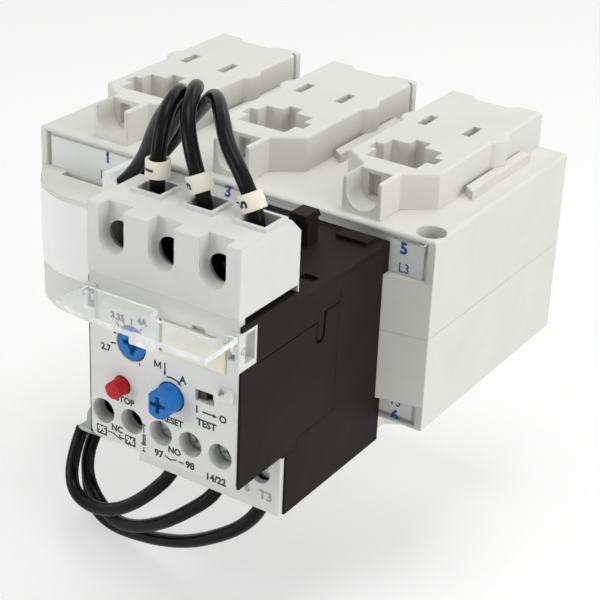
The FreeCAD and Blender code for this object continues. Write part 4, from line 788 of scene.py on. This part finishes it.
stripMarks = {
    "y": 66.6, "digitHeight": 3.2, "labelHeight": 2.7, "labelBold": 0.2, "labelNarrow": 0.9,
    "digits": [("1", -70.2, 40.0), ("3", -28.7, 40.7), ("5", 26.3, 39.7), ("6", 27.2, -9.2),
               ("2", -70.2, -9.2)],
    "labels": [("L1", -71.3, 34.3), ("L2", -28.9, 34.9), ("L3", 26.7, 34.2), ("T3", 27.0, -5.0),
               ("T1", -71.0, -5.0)],
    "flag": ((-70.9, 40.7), (-70.1, 41.4), 0.4),  # the slanted stroke of the 1
}


def addStripMarks():
    v = stripMarks
    parts = [inkText(words, x, z, v["digitHeight"], y=v["y"]) for words, x, z in v["digits"]]
    parts += [inkText(words, x, z, v["labelHeight"], y=v["y"], bold=v["labelBold"], narrow=v["labelNarrow"])
              for words, x, z in v["labels"]]
    parts.append(inkBar(*v["flag"], y=v["y"]))
    settle(joined(parts), "stripMarks", "blueInk", "relay")


panelMarks = {"y": 19.2, "marks": [("6", 12.4, -13.0, 2.3), ("T3", 18.0, -13.4, 2.6)]}


def addPanelMarks():
    parts = [inkText(*row, y=panelMarks["y"]) for row in panelMarks["marks"]]
    settle(joined(parts), "panelMarks", "embossed", "relay")


digitValues = {
    "height": 2.9, "clear": 0.06, "offset": 0.05, "cuts": 5, "lift": 0.1,
    # digit, lead, how far it looks to the left
    "digits": (("1", "left", -0.15), ("3", "middle", -0.75), ("5", "right", -0.3)),
}


def divideFaces():
    bpy.ops.mesh.quads_convert_to_tris()
    bpy.ops.mesh.subdivide(number_cuts=digitValues["cuts"])


def addMarkerDigits():  # turned sideways and laid on each marker ring
    v = digitValues
    for digit, side, left in v["digits"]:
        centre, along = markerSeat(side)
        part = flatText(digit, v["height"])
        inEditMode(divideFaces)
        view = Vector((left, -1, v["lift"]))
        out = (view - along * view.dot(along)).normalized()
        facing = Matrix((along, -out, out.cross(along))).transposed().to_4x4()
        seat = centre + out * (markerValues["outer"] + v["clear"]) * mm
        part.matrix_world = Matrix.Translation(seat) @ facing
        applyPlace()
        applyModifier(part, "SHRINKWRAP", target=markerRings[side], wrap_method="NEAREST_SURFACEPOINT",
                      offset=v["offset"] * mm)
        settle(part, f"markerDigit.{side}", "blackInk", "relay")


addFaceMarks()
addBoxedMarks()
addStripMarks()
addPanelMarks()
addMarkerDigits()
print("marks printed")

# current dial
dialValues = {"middle": (-9.2, 28.9), "radius": 4.0, "front": 0.28, "back": 4.3, "edge": 0.1,
              "starReach": 2.9, "starHalf": 0.7, "starDeep": 1.9, "smallReach": 0.62, "smallHalf": 0.8,
              "smallDeep": 0.6, "notchHalf": 0.35, "notchLong": 1.0, "shaft": 1.6, "shaftBack": 16.2}


def addDial():  # a cross with a smaller diagonal cross between its arms
    v = dialValues
    x, z = v["middle"]
    front, top = v["front"], v["middle"][1] + v["radius"]
    dial = rodAt(x, z, front, v["back"], v["radius"], 96)
    cutters = []
    for turns, reach, half, deep in (((0, 90), 1, 1, 1),
                                     ((45, 135), v["smallReach"], v["smallHalf"], v["smallDeep"])):
        cutters += [crossBar(x, z, (front - 1, front + v["starDeep"] * deep), v["starReach"] * reach,
                             v["starHalf"] * half, turn) for turn in turns]
    cutters.append(barAt((x - v["notchHalf"], x + v["notchHalf"]), (front - 1, front + v["notchHalf"]),
                         (top - v["notchLong"], top + 1)))
    dial = roundEdges(cutAway(dial, cutters), v["edge"], steps=2)
    shaft = rodAt(x, z, v["back"] - 0.2, v["shaftBack"], v["shaft"], 32)
    piece = settle(joined([dial, shaft]), "dialFace", "blue", "dial", 35)
    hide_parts("current_dial")


addDial()

# RESET knob
knobValues = {"middle": (2.7, 18.9), "radius": 3.6, "front": -5.3, "back": 4, "flat": 2.6,
              "flatBack": -0.5, "wide": 6, "crossReach": 2.3, "crossHalf": 0.55, "crossDeep": 1.5,
              "pit": 1.05, "pitDeep": 2.1, "bore": 1.65, "boreFront": -0.05, "edge": 0.18}


def addKnob():  # two flats, a driver cross in front and a bore for the plunger behind
    v = knobValues
    x, z = v["middle"]
    front, wide = v["front"], v["wide"]
    ys = (front - 1, v["flatBack"])
    knob = rodAt(x, z, front, v["back"], v["radius"], 96)
    knob = cutAway(knob, [barAt((x - wide, x + wide), ys, (z + v["flat"], z + wide)),
                          barAt((x - wide, x - v["flat"]), ys, (z - wide, z + wide))])
    cutters = [crossBar(x, z, (front - 1, front + v["crossDeep"]), v["crossReach"], v["crossHalf"], turn)
               for turn in (0, 90)]
    knob = cutAway(knob, cutters + [rodAt(x, z, front - 1, front + v["pitDeep"], v["pit"], 8)])
    knob = cutAway(knob, [rodAt(x, z, v["boreFront"], v["back"] + 1, v["bore"], 32)])
    piece = settle(roundEdges(knob, v["edge"]), "resetKnob", "blue", "knob", 35)
    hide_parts("reset_knob")


addKnob()

# STOP button
stopValues = {"middle": (-12, 17), "radius": 2.25, "front": -3.9, "back": 2.4, "step": 0.22, "wide": 4,
              "drop": 0.05, "edge": 0.3, "rod": 1.6, "rodBack": 16}


def addStop():  # the lower half of its face stands a little back
    v = stopValues
    x, z = v["middle"]
    front, wide = v["front"], v["wide"]
    button = rodAt(x, z, front, v["back"], v["radius"], 96)
    step = barAt((x - wide, x + wide), (front - 1, front + v["step"]), (z - wide, z - v["drop"]))
    button = cutAway(button, [step])
    button = roundEdges(button, v["edge"], steps=4)
    rod = rodAt(x, z, v["back"] - 0.1, v["rodBack"], v["rod"], 32)
    piece = settle(joined([button, rod]), "stopCap", "red", "stop", 35)
    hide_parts("stop_button")


addStop()
print("controls modelled")

# auxiliary terminals
auxValues = {"first": -17.9, "pitch": 8.8, "z": 7.7, "headRadius": 2.85, "headBack": 11.4, "headEdge": 0.5,
             "fronts": (6.8, 6.8, 3.3, 3.3, 3.3), "turns": (20, 65, 38, 62, 30),
             "crossReach": 1.9, "crossHalf": 0.42, "crossDeep": 1.5, "slotReach": 3.2, "slotHalf": 0.36,
             "slotDeep": 0.55, "pit": 0.8, "pitDeep": 1.8, "cutEdge": 0.06}


def addAuxScrews():  # plated pan heads with a cross recess and a drive slot
    v = auxValues
    z = v["z"]
    heads = []
    for index, (front, turn) in enumerate(zip(v["fronts"], v["turns"])):
        x = v["first"] + index * v["pitch"]
        head = roundEdges(rodAt(x, z, front, v["headBack"], v["headRadius"]), v["headEdge"], steps=4)
        cross = (front - 1, front + v["crossDeep"])
        slot = (front - 1, front + v["slotDeep"])
        cutters = [crossBar(x, z, cross, v["crossReach"], v["crossHalf"], turn + more) for more in (0, 90)]
        cutters.append(crossBar(x, z, slot, v["slotReach"], v["slotHalf"], turn))
        cutters.append(rodAt(x, z, front - 1, front + v["pitDeep"], v["pit"], 8))
        heads.append(roundEdges(cutAway(head, cutters), v["cutEdge"], 50, 1))
    piece = settle(joined(heads), "auxScrews", "steel", "relay", 40)
    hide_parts("aux_terminal_screws")


collarValues = {"radius": 3.34, "bore": 3.19, "boreSpan": (1, 12), "front": 2.35,
                "backs": (4.2, 4.2, 11.2, 11.2, 11.2)}


def addAuxCollars():  # light grey tubes behind the terminal holes, darker than the fascia as painted shade
    v = collarValues
    z = auxValues["z"]
    collars = []
    for index, back in enumerate(v["backs"]):
        x = auxValues["first"] + index * auxValues["pitch"]
        tube = rodAt(x, z, v["front"], back, v["radius"])
        collars.append(cutAway(tube, [rodAt(x, z, *v["boreSpan"], v["bore"])]))
    settle(joined(collars), "auxCollars", "paintedShadeCollar", "relay", 40)


addAuxScrews()
addAuxCollars()
print("auxiliary terminals modelled")

# black housing with its latch slots and seams
latchValues = {
    "half": 22.5, "slotDeep": 0.9, "seamDeep": 0.5,
    "slots": [  # depth and height on the side wall, turn about the width axis
        ((35.4, 36.4), (26.6, 33.4), -4), ((34.6, 35.6), (24.85, 27.4), -50), ((33.0, 34.7), (25.2, 26.2), 0),
        ((32.4, 33.4), (25.5, 26.8), 20)],
    "seams": [
        ((6.5, 32.76), (31.4, 31.76), 0), ((32.4, 32.76), (26.2, 31.76), 0),
        ((36.3, 42.3), (33.04, 33.4), 0)],
}


def sideSpan(side, half, deep):  # from inside a side wall to beyond it
    return sorted((side * (half - deep), side * (half + 1)))


def cutEach(piece, cutters):
    for cutter in cutters:
        cutAway(piece, [cutter])


def addShell():
    v = latchValues
    shell = cleanCopy("relay_body")
    cutters = []
    for side in (-1, 1):
        for rows, deep in ((v["slots"], v["slotDeep"]), (v["seams"], v["seamDeep"])):
            cutters += [barAt(sideSpan(side, v["half"], deep), ys, zs, (turn, 0, 0)) for ys, zs, turn in rows]
    cutEach(shell, cutters)
    piece = settle(shell, "frontShell", "blackShell", "relay")
    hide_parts("relay_body")


addShell()
print("front shell modelled")

# fascia with open hinge pockets
lugValues = {"half": 22.5, "pocketY": (1.7, 5.6), "pocketZ": (33.6, 41.1), "deep": 2.3,
             "eyeX": (17.6, 19.4), "eyeY": (-3, -0.6), "eyeZ": (25.3, 27)}


def addFascia():
    v = lugValues
    face = cleanCopy("front_fascia")
    cutters = [barAt(sideSpan(side, v["half"], v["deep"]), v["pocketY"], v["pocketZ"]) for side in (-1, 1)]
    cutters.append(barAt(v["eyeX"], v["eyeY"], v["eyeZ"]))
    cutEach(face, cutters)
    piece = settle(face, "frontFace", "fascia", "relay")
    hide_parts("front_fascia")


addFascia()
print("fascia modelled")

# lead sleeve
sleeveValues = {"z": (-60, -28), "edge": 0.5,
                "cuts": [((-64.5, -60.4), (39, 44.8), 0), ((-65.6, -61.6), (42.6, 46.4), 38)]}  # x, y, turn


def addSleeve():  # its outer side drawn in beside the lead ends
    v = sleeveValues
    sleeve = cleanCopy("lead_sleeve_lower")
    cutEach(sleeve, [barAt(xs, ys, v["z"], (0, 0, turn)) for xs, ys, turn in v["cuts"]])
    piece = settle(roundEdges(sleeve, v["edge"]), "leadSleeve", "sleeve", "relay", 40)
    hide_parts("lead_sleeve_lower")


addSleeve()
print("sleeve modelled")

# terminal cap
capValues = {"pitch": 14.5, "middle": 55.2, "lip": 3.42, "flare": 1.2, "front": 3.1, "depth": 2.6}


def addCap():  # its three driver holes widen behind a thin lip
    v = capValues
    cap = cleanCopy("terminal_cap")
    for k in (-1, 0, 1):
        place = onRelay(k * v["pitch"], v["front"] + v["depth"] / 2, v["middle"])
        freshSelection()
        bpy.ops.mesh.primitive_cone_add(
            vertices=96, radius1=v["lip"] * mm, radius2=(v["lip"] + v["flare"]) * mm, depth=v["depth"] * mm,
            rotation=(math.radians(-90), 0, 0), location=place)
        applyPlace()
        cutAway(cap, [bpy.context.active_object])
    piece = settle(cap, "terminalCap", "fascia", "relay")
    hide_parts("terminal_cap")


addCap()
print("cap modelled")

# clear cover
coverValues = {"floor": 40.25, "top": 41.75, "flat": 0.8, "tabFront": -11.6, "edge": 0.12}


def addCover():  # its cut edges and its tab are milky white, a painted highlight along the edges
    v = coverValues
    cover = roundEdges(cleanCopy("transparent_cover"), v["edge"], steps=2)
    piece = settle(cover, "clearCover", "clear", "cover")
    piece.data.materials.append(materials["clearEdge"])
    floor, top = [onRelay(0, 0, v[level]).z for level in ("floor", "top")]
    tabFront = onRelay(0, v["tabFront"], 0).y
    for face in piece.data.polygons:
        cutEdge = abs(face.normal.z) < v["flat"] and floor < face.center.z < top
        tab = face.center.z < floor and face.center.y < tabFront
        face.material_index = int(cutEdge or tab)
    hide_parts("transparent_cover")


addCover()
print("cover modelled")

# floor and light
studioValues = {"floorDrop": 0.0008, "floorSize": 6, "floorShade": 0.97, "floorRough": 0.9,
                "floorSpecular": 0.1, "floorGlow": 0.5, "ambient": 0.32, "lampTarget": (0, -0.08, 0)}
lamps = {  # place, size and power
    "keyLamp": ((0.1, -0.1, 1.1), (0.6, 0.6), 5.4),
    "fillLamp": ((1.1, -0.12, 0.4), (0.7, 0.7), 5.8),
    "rimLamp": ((0.1, 0.8, 0.9), (0.9, 0.5), 3.0),
    "frontLamp": ((-0.55, -0.9, 0.32), (0.5, 0.5), 3.4),
}


def addFloor():
    v = studioValues
    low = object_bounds()[0]
    freshSelection()
    bpy.ops.mesh.primitive_plane_add(size=v["floorSize"], location=(0, 0, low[2] - v["floorDrop"]))
    floor = bpy.context.active_object
    floor.name = "floor"
    applyPlace()
    material, tree, shader = blankMaterial("floorPaper")
    shader.inputs["Roughness"].default_value = v["floorRough"]
    shader.inputs["Specular IOR Level"].default_value = v["floorSpecular"]
    shader.inputs["Base Color"].default_value = (*[v["floorShade"]] * 3, 1)
    glow = addNode(tree, "ShaderNodeEmission", {"Color": (1, 1, 1, 1), "Strength": 1})
    rays = addNode(tree, "ShaderNodeLightPath")
    share = addNode(tree, "ShaderNodeMath", operation="MULTIPLY")
    tree.links.new(rays.outputs["Is Camera Ray"], share.inputs[0])
    share.inputs[1].default_value = v["floorGlow"]
    paper = addNode(tree, "ShaderNodeMixShader")
    tree.links.new(share.outputs[0], paper.inputs["Fac"])
    tree.links.new(shader.outputs[0], paper.inputs[1])
    tree.links.new(glow.outputs[0], paper.inputs[2])
    tree.links.new(paper.outputs[0], tree.nodes["Material Output"].inputs["Surface"])
    floor.data.materials.append(material)


def addWorld():
    v = studioValues
    world = bpy.data.worlds.new("studio")
    bpy.context.scene.world = world
    world.use_nodes = True
    tree = world.node_tree
    tree.nodes.clear()
    light = addNode(tree, "ShaderNodeBackground", {"Color": (1, 0.995, 0.98, 1), "Strength": v["ambient"]})
    white = addNode(tree, "ShaderNodeBackground", {"Color": (1, 1, 1, 1), "Strength": 1})
    rays = addNode(tree, "ShaderNodeLightPath")
    through = addNode(tree, "ShaderNodeMath", operation="MAXIMUM")
    tree.links.new(rays.outputs["Is Camera Ray"], through.inputs[0])
    tree.links.new(rays.outputs["Is Transmission Ray"], through.inputs[1])
    seen = addNode(tree, "ShaderNodeMath", operation="MAXIMUM")
    tree.links.new(through.outputs[0], seen.inputs[0])
    tree.links.new(rays.outputs["Is Glossy Ray"], seen.inputs[1])
    pick = addNode(tree, "ShaderNodeMixShader")
    out = addNode(tree, "ShaderNodeOutputWorld")
    tree.links.new(seen.outputs[0], pick.inputs["Fac"])
    tree.links.new(light.outputs[0], pick.inputs[1])
    tree.links.new(white.outputs[0], pick.inputs[2])
    tree.links.new(pick.outputs[0], out.inputs["Surface"])


def addLamp(name, place, size, power):
    data = bpy.data.lights.new(name, "AREA")
    data.shape = "RECTANGLE"
    data.size, data.size_y = size
    data.energy = power
    lamp = bpy.data.objects.new(name, data)
    sceneRoot().objects.link(lamp)
    lamp.location = place
    aim = Vector(studioValues["lampTarget"]) - Vector(place)
    lamp.rotation_euler = aim.to_track_quat("-Z", "Y").to_euler()


addFloor()
addWorld()
for name, (place, size, power) in lamps.items():
    addLamp(name, place, size, power)
print("studio ready")

bpy.context.scene.view_settings.view_transform = "Standard"
bpy.context.view_layer.update()
